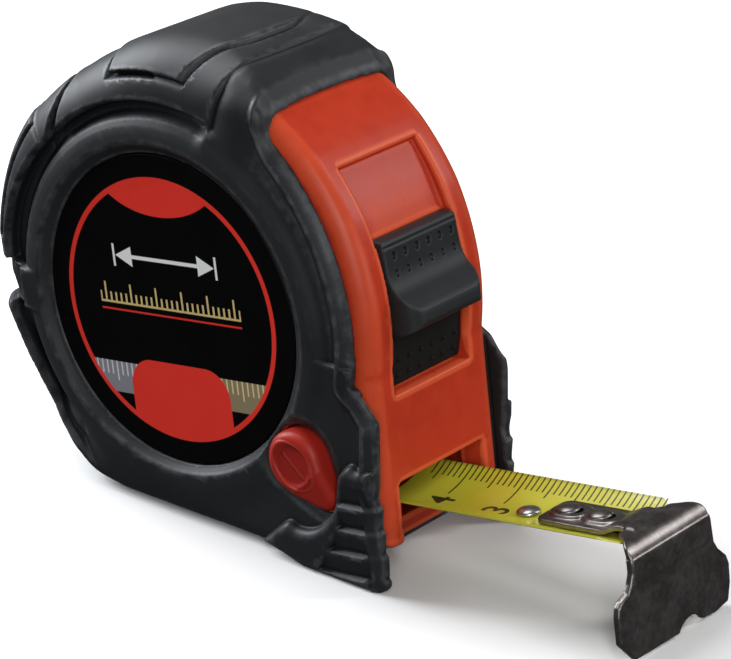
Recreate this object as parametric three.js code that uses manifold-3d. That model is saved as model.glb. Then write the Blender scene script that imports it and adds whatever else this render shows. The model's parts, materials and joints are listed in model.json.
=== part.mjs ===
// A pocket tape measure, standing on its base with a short stretch of blade drawn out.
// Millimetres, +Z up. X = 0 lies under the reel axis and +X points the way the blade leaves;
// the push button and the round label that carries the dial are on the -Y side (the right side).
import * as THREE from 'three';
import { mergeVertices } from 'three/addons/utils/BufferGeometryUtils.js';
import Module from 'manifold-3d';

const wasm = await Module();
wasm.setup();

// ---- clearances -------------------------------------------------------------------------------------
const GAP = 0.3; // between neighbouring pieces that don't move on each other
const SEAM = 0.1; // between the two halves of the casing, and of the rubber over it
const RUNNING = 0.1; // radial play of what turns on the centre post
const SCREW_PLAY = 0.15; // radial play of a screw in its hole
const PAST = 1; // how far a cutter runs past the face it cuts
const FAR = 120; // beyond the whole object

// ---- casing, seen from the side ---------------------------------------------------------------------
const PARTING_Y = 1.5; // plane where the right half meets the left half
const REEL_Z = 32; // height of the reel axis
const FRONT_FACE_X = 35.7; // foremost point of the front arc, level with the reel axis
const FRONT_R = 39.5; // the front and the thumb lock follow this arc
const FRONT_TOP_DEG = 57; // where the front arc ends
const FRONT_LOW_DEG = -2; // where it runs out into the straight nose
const SHOULDER = 7.4; // straight stretch from the front arc to the crown
const CROWN_R = 34.8; // the back and the top follow this arc
const CROWN_START_DEG = 73;
const CROWN_BACK_DEG = 188; // where that arc ends at the back
const CASING_BASE_Z = 1.3;
const HEEL_X = -19.6; // rear end of the flat base
const NOSE_X = 39.2; // foremost point of the casing, above the chin
const NOSE_Z = 5.5;
const CHIN_X = 30; // where the flat base turns up into the chin
const CASING_HALF_Y = 13.5;
const CASING_ROUND = 3.5;
const HOLLOW_ROUND = 3;
const WALL = 1.7;
const FLOOR = 1.4;

// ---- rubber jacket ----------------------------------------------------------------------------------
const JACKET = 2.4; // over the back and the top
const JACKET_SIDE = 1.4; // on the flat sides
const JACKET_ROUND = 5;
const BORDER_INSET = 2; // the rubber stops this far behind the front arc
const BORDER_TOP_X = 17.2; // its upper edge, across the top
const BUMPER_OUT_Y = 3.2; // the front bumpers stand this far off the casing's sides
const BUMPER_AHEAD = 0.8; // and this far ahead of its nose
const BUMPER_ROUND = 0.8;
const BUMPER_TOP_Z = 29;
const BUMPER_TOP_LEN = 6;
const BUMPER_TOE = 0.8; // bevel of its lower front corner
// The bumper's rear edge, seen from the stop button's centre: it is scooped out round the button.
const BUMPER_REAR = [
  [9.3, 13.4],
  [8.9, 1.8],
  [7.1, -0.6],
  [6.5, -5],
  [2.1, -10],
  [-2.7, -10.4],
  [-5.9, -13.4],
];

// ---- labels -----------------------------------------------------------------------------------------
const LABEL_R = 24.4;
const LABEL_T = 0.5;
const LABEL_RIM_PLAY = 0.6;

// ---- mouth and blade --------------------------------------------------------------------------------
const MOUTH_LOW_Z = 7.2;
const MOUTH_TOP_Z = 14.4;
const MOUTH_HALF_Y = 9.6;
const BLADE_TILT_DEG = 8.2; // rise of the drawn blade
const BLADE_LOW_X = 38; // a point of the blade's lowest line, where it leaves the mouth
const BLADE_LOW_Z = 8.3;
const BLADE_W = 16;
const BLADE_T = 0.25;
const BLADE_SAG = 2.3; // depth of the trough across the blade
const BLADE_TAIL = -8; // inner end of the stretch, measured along the blade from the mouth

// ---- end hook ---------------------------------------------------------------------------------------
const HOOK_T = 1.2;
const HOOK_FACE = 40.3; // outer face of the hook, along the blade from the mouth
const HOOK_RIDE = 1.1; // the tongue's underside above the blade's lowest line
const HOOK_TONGUE_START = 19.9;
const HOOK_TONGUE_HALF = 4;
const HOOK_STEP_START = 31.6; // here the tongue rises to clear the blade's edges
const HOOK_STEP_END = 34.4;
const HOOK_NECK_HALF = 9.3;
const HOOK_EAR_HALF = 13;
const HOOK_DROP = 13.6; // from the blade's lowest line to the tip of the apron
const HOOK_NOTCH_Y = 2.7;
const HOOK_NOTCH_R = 3.1;
const HOOK_FLOAT = 1.2; // how far the hook slides on its rivets
const HOOK_BEND_R = 2.6;
const TIP_GAP = 0.9; // from the blade's tip to the hook when the hook has slid in
const HOOK_NECK_DROP = 2.2; // the ears spread from here down
const HOOK_EAR_CHAMFER = 3;
const RIVET_R = 1;
const RIVET_HEAD_R = 1.7;
const RIVET_HEAD_T = 0.7;
const RIVET_AT = [23, 28.5]; // rivets through the tongue
const BLADE_RIVET_AT = 16; // the one that only holds the blade's end plate

// ---- reel -------------------------------------------------------------------------------------------
const POST_R = 3.2;
const SOCKET_WALL = 1.6;
const SOCKET_DEPTH = 1.6;
const COIL_INNER_R = 17.7;
const COIL_OUTER_R = 21.2;
const COIL_TURNS = 5;
const COIL_T = 0.4;
const DRUM_WALL = 1.6;
const FLANGE_R = 23.4;
const FLANGE_T = 1.2;
const SPRING_TURNS = 7;
const SPRING_T = 0.4;

// ---- thumb lock, in degrees about the front arc's centre --------------------------------------------
const LOCK_TRAVEL_DEG = 15;
const LOCK_HALF_Y = 8.2;
const LOCK_SIDE_PLAY = 0.3;
const WINDOW_LOW_DEG = -7.2;
const WINDOW_TOP_DEG = 24.9;
const TRACK_TOP_DEG = 41; // top of the shallow track that the thumb pad rides in
const TRACK_DEPTH = 0.9;
const LOCK_END_PLAY_DEG = 0.3;
const PLATE_T = 1.6; // curved plate behind the window
const PLATE_OVERLAP = 0.6; // the plate is wider than the window by this much on each side
const PLATE_TOP_DEG = 34;
const SHOE_LOW_DEG = 24;
const SHOE_TOP_DEG = 31;
const SHOE_HALF_Y = 6;
const SHOE_T = 3;
const APRON_PROUD = 0.3; // the slider's lower part stands this far off the front arc
const LIP_PROUD = 4.8; // and the lip that the thumb pushes this far
const DISH_PROUD = 1.2; // lowest line of the hollow thumb pad
const PAD_TOP_PROUD = 1.7;
const LIP_DEG = 8.3;
const DISH_DEG = 18;

// ---- stop button ------------------------------------------------------------------------------------
const BUTTON_X = 24.3;
const BUTTON_Z = 15.6;
const BUTTON_R = 4.9;
const BUTTON_TAIL_X = 29.1;
const BUTTON_TAIL_Z = 12.3;
const BUTTON_TAIL_R = 2.5;
const BUTTON_TRAVEL = 1.6;
const BUTTON_PRESSED = 1.7; // how far the pressed cap still stands off the casing's side
const BUTTON_LIP = 0.8; // flange that keeps the button in
const BUTTON_LIP_T = 0.6;
const BUTTON_ROUND = 1.1;
const STOP_PAD_T = 0.7;
const STOP_PAD_HALF = 1.6;
const STOP_PAD_DROP = 1; // the pad sits this far below the button's tail
const BUTTON_SPRING_R = 2.1;
const BUTTON_SPRING_WIRE = 0.5;
const BUTTON_SPRING_TURNS = 4;
const SPRING_SEAT_Y = 5; // a post of the left half ends here and backs the button's spring
const SPRING_SEAT_R = 2.7;

// ---- screws and belt clip ---------------------------------------------------------------------------
const SCREW_R = 1.2;
const SCREW_HEAD_R = 2.2;
const SCREW_HEAD_T = 1.5;
const SCREW_REACH = 9; // how far the tip goes into the right half
const SCREW_DRIVE_HALF = 1.4;
const SCREW_DRIVE_W = 0.6;
const SCREW_DRIVE_DEPTH = 0.8;
const SCREW_INSET = 6.15; // from the crown's outer face
const CROWN_SCREWS_DEG = [135.7, 63.3];
const HEEL_SCREW_RISE = 9.5; // above the base, over the heel
const FRONT_SCREW_DEG = -14.6;
const BOSS_R = 2.2;
const BOSS_HEAD_R = 3.2;
const CLIP_T = 1;
const CLIP_HALF_X = 8;
const CLIP_TOP_Z = 54;
const CLIP_LOW_Z = 14;
const CLIP_STAND = 5.5; // gap behind the clip's arm
const CLIP_FOOT = 9;
const CLIP_PINCH = 1.5; // the arm leans back this far towards the case
const CLIP_FLARE = 5; // length of the flared tip
const CLIP_SCREW_X = 4;
const CLIP_SCREW_R = 1.3;
const CLIP_SCREW_HEAD_R = 2.5;
const CLIP_SCREW_HEAD_T = 1.2;

// ---- materials --------------------------------------------------------------------------------------
function finish(color, roughness, metalness = 0) {
  return new THREE.MeshStandardMaterial({ color, roughness, metalness });
}
const ORANGE = finish(0xb03221, 0.35);
const RUBBER = finish(0x2c3135, 0.75);
const LABEL_BLACK = finish(0x0b0b0c, 0.3);
const BLACK_PLASTIC = finish(0x202326, 0.5);
const PALE_PLASTIC = finish(0xc9c7bd, 0.5);
const BUTTON_RED = finish(0xa8281c, 0.3);
const STEEL = finish(0x8c8c8c, 0.35, 1);
const DARK_STEEL = finish(0x4b4644, 0.35, 1);
const BLADE_YELLOW = finish(0xc8c33c, 0.35);

// ---- shape helpers ----------------------------------------------------------------------------------
const radians = THREE.MathUtils.degToRad;

function toSolid(geometry) {
  const bare = geometry.clone();
  bare.deleteAttribute('normal');
  bare.deleteAttribute('uv');
  const merged = mergeVertices(bare);
  const [vertProperties, triVerts] = [merged.attributes.position.array, merged.index.array];
  return new wasm.Manifold(new wasm.Mesh({ numProp: 3, vertProperties, triVerts }));
}

function toGeometry(solid) {
  const mesh = solid.getMesh();
  const geometry = new THREE.BufferGeometry();
  geometry.setAttribute('position', new THREE.BufferAttribute(mesh.vertProperties, 3));
  geometry.setIndex(new THREE.BufferAttribute(mesh.triVerts, 1));
  geometry.computeVertexNormals();
  return geometry;
}

// A point given by angle and radius about a centre.
function polar(x, z, degrees, radius) {
  return [x + radius * Math.cos(radians(degrees)), z + radius * Math.sin(radians(degrees))];
}

function arc(x, z, radius, fromDeg, toDeg, steps) {
  const stepDeg = (toDeg - fromDeg) / steps;
  return Array.from({ length: steps + 1 }, (_, i) => polar(x, z, fromDeg + stepDeg * i, radius));
}

// Moves a counter-clockwise outline outward by `distance` (inward when negative).
function offset(outline, distance) {
  const count = outline.length;
  const normals = outline.map(([x, z], i) => {
    const [nextX, nextZ] = outline[(i + 1) % count];
    const length = Math.hypot(nextX - x, nextZ - z);
    return [(nextZ - z) / length, (x - nextX) / length];
  });
  return outline.map(([x, z], i) => {
    const [ax, az] = normals[(i + count - 1) % count];
    const [bx, bz] = normals[i];
    const reach = distance / (1 + ax * bx + az * bz);
    return [x + (ax + bx) * reach, z + (az + bz) * reach];
  });
}

// A side outline in X and Z, given a width along Y.
function prism(outline, fromY, toY, rounding = 0) {
  const shape = new THREE.Shape(outline.map(([x, z]) => new THREE.Vector2(x, z)));
  const geometry = new THREE.ExtrudeGeometry(shape, {
    depth: toY - fromY - 2 * rounding,
    bevelEnabled: rounding > 0,
    bevelThickness: rounding,
    bevelSize: rounding,
    bevelOffset: -rounding,
    bevelSegments: 2,
  });
  geometry.rotateX(Math.PI / 2);
  geometry.translate(0, toY - rounding, 0);
  return toSolid(geometry);
}

function box(fromX, toX, fromY, toY, fromZ, toZ) {
  const geometry = new THREE.BoxGeometry(toX - fromX, toY - fromY, toZ - fromZ);
  geometry.translate((fromX + toX) / 2, (fromY + toY) / 2, (fromZ + toZ) / 2);
  return toSolid(geometry);
}

function rod(x, z, radius, fromY, toY, sides = 16) {
  const geometry = new THREE.CylinderGeometry(radius, radius, toY - fromY, sides);
  geometry.translate(x, (fromY + toY) / 2, z);
  return toSolid(geometry);
}

// A closed profile of [radius, Y] corners, turned about the reel axis.
function turned(profile) {
  const points = [...profile, profile[0]].map(([r, y]) => new THREE.Vector2(r, y));
  const geometry = new THREE.LatheGeometry(points, 40);
  geometry.translate(0, 0, REEL_Z);
  return toSolid(geometry);
}

// Outline around two circles of unequal size.
function teardrop(grow) {
  const length = Math.hypot(BUTTON_TAIL_X - BUTTON_X, BUTTON_TAIL_Z - BUTTON_Z);
  const heading = THREE.MathUtils.radToDeg(Math.atan2(BUTTON_TAIL_Z - BUTTON_Z, BUTTON_TAIL_X - BUTTON_X));
  const lean = THREE.MathUtils.radToDeg(Math.acos((BUTTON_R - BUTTON_TAIL_R) / length));
  return [
    ...arc(BUTTON_TAIL_X, BUTTON_TAIL_Z, BUTTON_TAIL_R + grow, heading - lean, heading + lean, 8),
    ...arc(BUTTON_X, BUTTON_Z, BUTTON_R + grow, heading + lean, heading + 360 - lean, 20),
  ];
}

// A strip wound into a flat spiral about the reel axis.
function spiral(innerR, outerR, turns, thickness, halfY) {
  const steps = Math.round(turns * 20);
  const radiusAt = (i) => innerR + ((outerR - innerR - thickness) * i) / steps;
  const at = (i, extra) => {
    const a = (2 * Math.PI * turns * i) / steps - Math.PI / 2;
    return [(radiusAt(i) + extra) * Math.cos(a), REEL_Z + (radiusAt(i) + extra) * Math.sin(a)];
  };
  const inner = Array.from({ length: steps + 1 }, (_, i) => at(i, 0));
  const outer = Array.from({ length: steps + 1 }, (_, i) => at(i, thickness));
  return prism([...outer, ...inner.reverse()], -halfY, halfY);
}

const model = new THREE.Group();

function place(name, solid, material, parent = model) {
  const mesh = new THREE.Mesh(toGeometry(solid), material);
  mesh.name = name;
  parent.add(mesh);
}

// ---- casing -----------------------------------------------------------------------------------------
const FRONT_X = FRONT_FACE_X - FRONT_R;
const frontTop = polar(FRONT_X, REEL_Z, FRONT_TOP_DEG, FRONT_R);
const crownStart = polar(...frontTop, CROWN_START_DEG + 90, SHOULDER);
const [crownX, crownZ] = polar(...crownStart, CROWN_START_DEG + 180, CROWN_R);
const crown = arc(crownX, crownZ, CROWN_R, CROWN_START_DEG, CROWN_BACK_DEG, 20);

// The side outline, with its flat base at a given height and the heel on one straight line.
function sideOutline(baseZ) {
  const [backX, backZ] = crown.at(-1);
  const slope = (HEEL_X - backX) / (CASING_BASE_Z - backZ);
  return [
    [HEEL_X + slope * (baseZ - CASING_BASE_Z), baseZ],
    [CHIN_X, baseZ],
    [NOSE_X, NOSE_Z],
    ...arc(FRONT_X, REEL_Z, FRONT_R, FRONT_LOW_DEG, FRONT_TOP_DEG, 12),
    ...crown,
  ];
}

const casingOutline = sideOutline(CASING_BASE_Z);
const sideOfHalf = {
  right: box(-FAR, FAR, -FAR, PARTING_Y - SEAM / 2, -FAR, FAR),
  left: box(-FAR, FAR, PARTING_Y + SEAM / 2, FAR, -FAR, FAR),
};
const innerHalfY = CASING_HALF_Y - WALL;
const plateOuterR = FRONT_R - WALL - 2 * GAP;
const plateInnerR = plateOuterR - PLATE_T;
const windowHalfY = LOCK_HALF_Y + LOCK_SIDE_PLAY;
const screwPlaces = [
  [HEEL_X, CASING_BASE_Z + HEEL_SCREW_RISE],
  ...CROWN_SCREWS_DEG.map((degrees) => polar(crownX, crownZ, degrees, CROWN_R - SCREW_INSET)),
  polar(FRONT_X, REEL_Z, FRONT_SCREW_DEG, plateInnerR - BOSS_HEAD_R - 2 * GAP),
];
const clipScrewZ = CLIP_TOP_Z - CLIP_FOOT / 2;

function sector(fromR, toR, fromDeg, toDeg, halfY) {
  const steps = Math.max(3, Math.round((toDeg - fromDeg) / 4));
  const outer = arc(FRONT_X, REEL_Z, toR, fromDeg, toDeg, steps);
  const inner = arc(FRONT_X, REEL_Z, fromR, toDeg, fromDeg, steps);
  return prism([...outer, ...inner], -halfY, halfY);
}

function casingHollow() {
  const aboveFloor = box(-FAR, FAR, -FAR, FAR, CASING_BASE_Z + FLOOR, FAR);
  return prism(offset(casingOutline, -WALL), -innerHalfY, innerHalfY, HOLLOW_ROUND).intersect(aboveFloor);
}

function emptyCasing() {
  const aheadR = FRONT_R + 3 * PAST;
  return prism(casingOutline, -CASING_HALF_Y, CASING_HALF_Y, CASING_ROUND)
    .subtract(casingHollow())
    .subtract(box(CHIN_X, FAR, -MOUTH_HALF_Y, MOUTH_HALF_Y, MOUTH_LOW_Z, MOUTH_TOP_Z))
    .subtract(sector(FRONT_R - WALL - PAST, aheadR, WINDOW_LOW_DEG, WINDOW_TOP_DEG, windowHalfY))
    .subtract(sector(FRONT_R - TRACK_DEPTH, aheadR, WINDOW_TOP_DEG - 1, TRACK_TOP_DEG, windowHalfY));
}

function postSocket(side) {
  const outer = POST_R + SCREW_PLAY + SOCKET_WALL;
  const [low, high] = [innerHalfY - SOCKET_DEPTH, innerHalfY + GAP];
  const bore = rod(0, REEL_Z, POST_R + SCREW_PLAY, low - PAST, high + PAST, 32);
  const ring = rod(0, REEL_Z, outer, low, high, 32).subtract(bore);
  return side === 'left' ? ring : ring.mirror([0, 1, 0]);
}

function rightHalf() {
  let half = emptyCasing().intersect(sideOfHalf.right).add(postSocket('right'));
  for (const [x, z] of screwPlaces) {
    half = half.add(rod(x, z, BOSS_R, -innerHalfY - GAP, PARTING_Y - SEAM / 2));
    half = half.subtract(rod(x, z, SCREW_R + SCREW_PLAY, -SCREW_REACH - GAP, PARTING_Y + PAST));
  }
  return half.subtract(prism(teardrop(GAP), -CASING_HALF_Y - PAST, SEAM - innerHalfY));
}

function leftHalf() {
  let half = emptyCasing().intersect(sideOfHalf.left).add(postSocket('left'));
  const headFloorY = CASING_HALF_Y - SCREW_HEAD_T - GAP;
  for (const [x, z] of screwPlaces) {
    half = half
      .add(rod(x, z, BOSS_R, PARTING_Y + SEAM / 2, innerHalfY))
      .add(rod(x, z, BOSS_HEAD_R, innerHalfY - SCREW_HEAD_T - GAP, innerHalfY + GAP))
      .subtract(rod(x, z, SCREW_R + SCREW_PLAY, 0, CASING_HALF_Y))
      .subtract(rod(x, z, SCREW_HEAD_R + SCREW_PLAY, headFloorY, CASING_HALF_Y + PAST));
  }
  for (const x of [-CLIP_SCREW_X, CLIP_SCREW_X]) {
    half = half.subtract(rod(x, clipScrewZ, CLIP_SCREW_R + SCREW_PLAY, 0, CASING_HALF_Y + PAST));
  }
  return half.add(rod(BUTTON_X, BUTTON_Z, SPRING_SEAT_R, -SPRING_SEAT_Y, innerHalfY + GAP));
}

place('right_shell', rightHalf(), ORANGE);
place('left_shell', leftHalf(), ORANGE);

// ---- rubber jacket ----------------------------------------------------------------------------------
const jacketSideY = CASING_HALF_Y + GAP;
const bumperY = CASING_HALF_Y + BUMPER_OUT_Y;
const bumperFrontX = NOSE_X + BUMPER_AHEAD;

// Everything ahead of the rubber's front edge; `flare` is where that edge swings out to the bumper.
function aheadOfRubber(flare) {
  return [
    [BORDER_TOP_X, FAR],
    ...arc(FRONT_X, REEL_Z, FRONT_R - BORDER_INSET, FRONT_TOP_DEG - 1, FRONT_LOW_DEG - 3, 14),
    ...flare,
    [FAR, -FAR],
    [FAR, FAR],
  ].reverse();
}

function bumper() {
  const outline = [
    [BUTTON_X, 0],
    [bumperFrontX - BUMPER_TOE, 0],
    [bumperFrontX, BUMPER_TOE],
    [bumperFrontX - BUMPER_TOE / 2, BUMPER_TOP_Z - BUMPER_TOP_LEN + BUMPER_TOE * 2],
    ...BUMPER_REAR.map(([x, z]) => [BUTTON_X + x, BUTTON_Z + z]),
  ];
  return prism(outline, jacketSideY, bumperY, BUMPER_ROUND);
}

function jacket(side) {
  // Its outline starts low and is cut level, so that the sides come down square to the base.
  const outer = prism(
    offset(sideOutline(CASING_BASE_Z - JACKET_ROUND), JACKET + GAP),
    -jacketSideY - JACKET_SIDE,
    jacketSideY + JACKET_SIDE,
    JACKET_ROUND,
  );
  const inner = prism(offset(casingOutline, GAP), -jacketSideY, jacketSideY, CASING_ROUND);
  const betweenBumpers = [[FRONT_FACE_X - 2 * BORDER_INSET, -FAR]];
  const toBumper = [
    [bumperFrontX - BUMPER_TOE, BUMPER_TOP_Z - BUMPER_TOP_LEN + 2 * BUMPER_TOE],
    [bumperFrontX, -FAR],
  ];
  const mirrored = side === 'right' ? bumper().mirror([0, 1, 0]) : bumper();
  const [labelLow, labelHigh] = side === 'right' ? [-FAR, PAST - jacketSideY] : [jacketSideY - PAST, FAR];
  return outer
    .subtract(prism(aheadOfRubber(toBumper), -FAR, FAR))
    .add(mirrored)
    .subtract(inner)
    .subtract(prism(aheadOfRubber(betweenBumpers), -jacketSideY, jacketSideY))
    .subtract(rod(0, REEL_Z, LABEL_R + LABEL_RIM_PLAY, labelLow, labelHigh, 48))
    .intersect(sideOfHalf[side])
    .intersect(box(-FAR, FAR, -FAR, FAR, 0, FAR));
}

function leftJacket() {
  return screwPlaces.reduce(
    (solid, [x, z]) => solid.subtract(rod(x, z, SCREW_HEAD_R + 2 * GAP, CASING_HALF_Y - PAST, FAR)),
    jacket('left'),
  );
}

place('right_jacket', jacket('right').subtract(prism(teardrop(2 * GAP), -FAR, -CASING_HALF_Y)), RUBBER);
place('left_jacket', leftJacket(), RUBBER);

// ---- labels -----------------------------------------------------------------------------------------
const labelOuterY = jacketSideY + LABEL_T;

function leftLabel() {
  return [-CLIP_SCREW_X, CLIP_SCREW_X].reduce(
    (solid, x) => solid.subtract(rod(x, clipScrewZ, CLIP_SCREW_R + SCREW_PLAY, 0, FAR)),
    rod(0, REEL_Z, LABEL_R, jacketSideY, labelOuterY, 48),
  );
}

place('right_label', rod(0, REEL_Z, LABEL_R, -labelOuterY, -jacketSideY, 48), LABEL_BLACK);
place('left_label', leftLabel(), LABEL_BLACK);

// ---- reel, on the centre post -----------------------------------------------------------------------
const drumHalfY = BLADE_W / 2 + GAP;
const postHalfY = innerHalfY - GAP;
const boreR = POST_R + RUNNING;
const drumOuterR = COIL_INNER_R - GAP;
const coverOuterY = drumHalfY + GAP + FLANGE_T;

function centrePost() {
  const slot = box(-SPRING_T, SPRING_T, -drumHalfY, drumHalfY, REEL_Z, REEL_Z + 2 * POST_R);
  return rod(0, REEL_Z, POST_R, -postHalfY, postHalfY, 32).subtract(slot);
}

function reelDrum() {
  return turned([
    [boreR, -drumHalfY - FLANGE_T],
    [FLANGE_R, -drumHalfY - FLANGE_T],
    [FLANGE_R, -drumHalfY],
    [drumOuterR, -drumHalfY],
    [drumOuterR, drumHalfY],
    [drumOuterR - DRUM_WALL, drumHalfY],
    [drumOuterR - DRUM_WALL, -drumHalfY],
    [boreR, -drumHalfY],
  ]);
}

function reelCover() {
  return turned([
    [boreR, drumHalfY + GAP],
    [FLANGE_R, drumHalfY + GAP],
    [FLANGE_R, coverOuterY],
    [boreR, coverOuterY],
  ]);
}

place('centre_post', centrePost(), STEEL);
place('reel_drum', reelDrum(), PALE_PLASTIC);
place('reel_cover', reelCover(), PALE_PLASTIC);
const springOuterR = drumOuterR - DRUM_WALL - GAP;
const springInnerR = POST_R + 2 * GAP;
const powerSpring = spiral(springInnerR, springOuterR, SPRING_TURNS, SPRING_T, drumHalfY - GAP);
const bladeCoil = spiral(COIL_INNER_R, COIL_OUTER_R, COIL_TURNS, COIL_T, BLADE_W / 2);
place('power_spring', powerSpring, DARK_STEEL);
place('blade_coil', bladeCoil, BLADE_YELLOW);

// ---- blade: its own frame has +X along the blade, +Z off its face, origin in the mouth --------------
const blade = new THREE.Group();
blade.position.set(BLADE_LOW_X, 0, BLADE_LOW_Z);
blade.rotation.y = -radians(BLADE_TILT_DEG);
model.add(blade);

const troughR = ((BLADE_W / 2) ** 2 + BLADE_SAG ** 2) / (2 * BLADE_SAG);
const bladeTip = HOOK_FACE - HOOK_T - HOOK_FLOAT - TIP_GAP;

// Height of the blade's upper face above its lowest line, at a distance from its middle.
function bladeTop(y) {
  return troughR - Math.sqrt((troughR - BLADE_T) ** 2 - y ** 2);
}

function bladeStrip() {
  const spread = THREE.MathUtils.radToDeg(Math.asin(BLADE_W / 2 / troughR));
  const section = [
    ...arc(0, troughR, troughR, -90 - spread, -90 + spread, 12),
    ...arc(0, troughR, troughR - BLADE_T, -90 + spread, -90 - spread, 12),
  ];
  const shape = new THREE.Shape(section.map(([y, z]) => new THREE.Vector2(y, z)));
  const geometry = new THREE.ExtrudeGeometry(shape, { depth: bladeTip - BLADE_TAIL, bevelEnabled: false });
  geometry.rotateX(Math.PI / 2);
  geometry.rotateZ(Math.PI / 2);
  geometry.translate(BLADE_TAIL, 0, 0);
  return [BLADE_RIVET_AT, ...RIVET_AT].reduce(
    (solid, x) => solid.subtract(uprightPin(x, RIVET_R + SCREW_PLAY, -BLADE_SAG, BLADE_SAG)),
    toSolid(geometry),
  );
}

function uprightPin(x, radius, fromZ, toZ) {
  const geometry = new THREE.CylinderGeometry(radius, radius, toZ - fromZ, 14);
  geometry.rotateX(Math.PI / 2);
  geometry.translate(x, 0, (fromZ + toZ) / 2);
  return toSolid(geometry);
}

function rivet(x, headBase) {
  const lowHeadTop = -SCREW_PLAY;
  return uprightPin(x, RIVET_R, lowHeadTop - RIVET_HEAD_T / 2, headBase + RIVET_HEAD_T / 2)
    .add(uprightPin(x, RIVET_HEAD_R, headBase, headBase + RIVET_HEAD_T))
    .add(uprightPin(x, RIVET_HEAD_R, lowHeadTop - RIVET_HEAD_T, lowHeadTop));
}

place('blade', bladeStrip(), BLADE_YELLOW, blade);
place('blade_rivet', rivet(BLADE_RIVET_AT, bladeTop(RIVET_HEAD_R) + SCREW_PLAY), STEEL, blade);
const tongueTop = HOOK_RIDE + HOOK_T;
RIVET_AT.forEach((x, i) => {
  place(`hook_rivet_${i + 1}`, rivet(x, tongueTop + SCREW_PLAY), STEEL, blade);
});

// ---- end hook ---------------------------------------------------------------------------------------
function endHook() {
  const flangeLow = bladeTop(BLADE_W / 2 - 0.01) + GAP;
  const flangeTop = flangeLow + HOOK_T;
  const inFace = HOOK_FACE - HOOK_T;
  const tongue = [
    [HOOK_TONGUE_START, HOOK_RIDE],
    [HOOK_STEP_START, HOOK_RIDE],
    [HOOK_STEP_END, flangeLow],
    [inFace, flangeLow],
    [inFace, flangeTop],
    [HOOK_STEP_END - HOOK_T / 2, flangeTop],
    [HOOK_STEP_START - HOOK_T / 2, tongueTop],
    [HOOK_TONGUE_START, tongueTop],
  ];
  const bendCentre = [HOOK_FACE - HOOK_BEND_R, flangeTop - HOOK_BEND_R];
  const bend = [
    [HOOK_STEP_END, flangeLow],
    ...arc(...bendCentre, HOOK_BEND_R - HOOK_T, 90, 0, 5),
    [inFace, -HOOK_T],
    [HOOK_FACE, -HOOK_T],
    ...arc(...bendCentre, HOOK_BEND_R, 0, 90, 6),
    [HOOK_STEP_END, flangeTop],
  ];
  const chamfer = HOOK_EAR_CHAMFER;
  const apron = [
    [-HOOK_NECK_HALF, 0],
    [-HOOK_NECK_HALF, -HOOK_NECK_DROP],
    [chamfer / 4 - HOOK_EAR_HALF, -HOOK_NECK_DROP - chamfer * 0.6],
    [-HOOK_EAR_HALF, -HOOK_NECK_DROP - chamfer * 1.25],
    [-HOOK_EAR_HALF, chamfer - HOOK_DROP],
    [chamfer - HOOK_EAR_HALF, -HOOK_DROP],
    ...arc(HOOK_NOTCH_Y, -HOOK_DROP, HOOK_NOTCH_R, 180, 0, 8),
    [HOOK_EAR_HALF - chamfer * 0.7, -HOOK_DROP],
    [HOOK_EAR_HALF - chamfer / 6, chamfer * 0.85 - HOOK_DROP],
    [HOOK_EAR_HALF, -HOOK_NECK_DROP - chamfer * 1.75],
    [HOOK_EAR_HALF - chamfer * 0.4, -HOOK_NECK_DROP - chamfer * 0.9],
    [HOOK_NECK_HALF, -HOOK_NECK_DROP],
    [HOOK_NECK_HALF, 0],
  ];
  const shape = new THREE.Shape(apron.map(([y, z]) => new THREE.Vector2(y, z)));
  const plate = new THREE.ExtrudeGeometry(shape, { depth: HOOK_T, bevelEnabled: false });
  plate.rotateX(Math.PI / 2);
  plate.rotateZ(Math.PI / 2);
  plate.translate(inFace, 0, 0);
  const slots = RIVET_AT.map((x) => slot(x, HOOK_RIDE - PAST, tongueTop + PAST));
  return slots.reduce(
    (solid, cut) => solid.subtract(cut),
    prism(tongue, -HOOK_TONGUE_HALF, HOOK_TONGUE_HALF)
      .add(prism(bend.reverse(), -HOOK_NECK_HALF, HOOK_NECK_HALF))
      .add(toSolid(plate)),
  );
}

// The hook slides from here towards the casing, so each slot runs outward from its rivet.
function slot(x, fromZ, toZ) {
  const radius = RIVET_R + SCREW_PLAY;
  return uprightPin(x, radius, fromZ, toZ)
    .add(uprightPin(x + HOOK_FLOAT, radius, fromZ, toZ))
    .add(box(x, x + HOOK_FLOAT, -radius, radius, fromZ, toZ));
}

place('end_hook', endHook(), DARK_STEEL, blade);

// ---- thumb lock -------------------------------------------------------------------------------------
const padUnderR = FRONT_R - TRACK_DEPTH + 1.5 * GAP;
const shoeBackR = COIL_OUTER_R - FRONT_X + SHOE_T;
const stemTopDeg = WINDOW_TOP_DEG - LOCK_TRAVEL_DEG - LOCK_END_PLAY_DEG;
const stemLowDeg = WINDOW_LOW_DEG + LOCK_END_PLAY_DEG;

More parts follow.
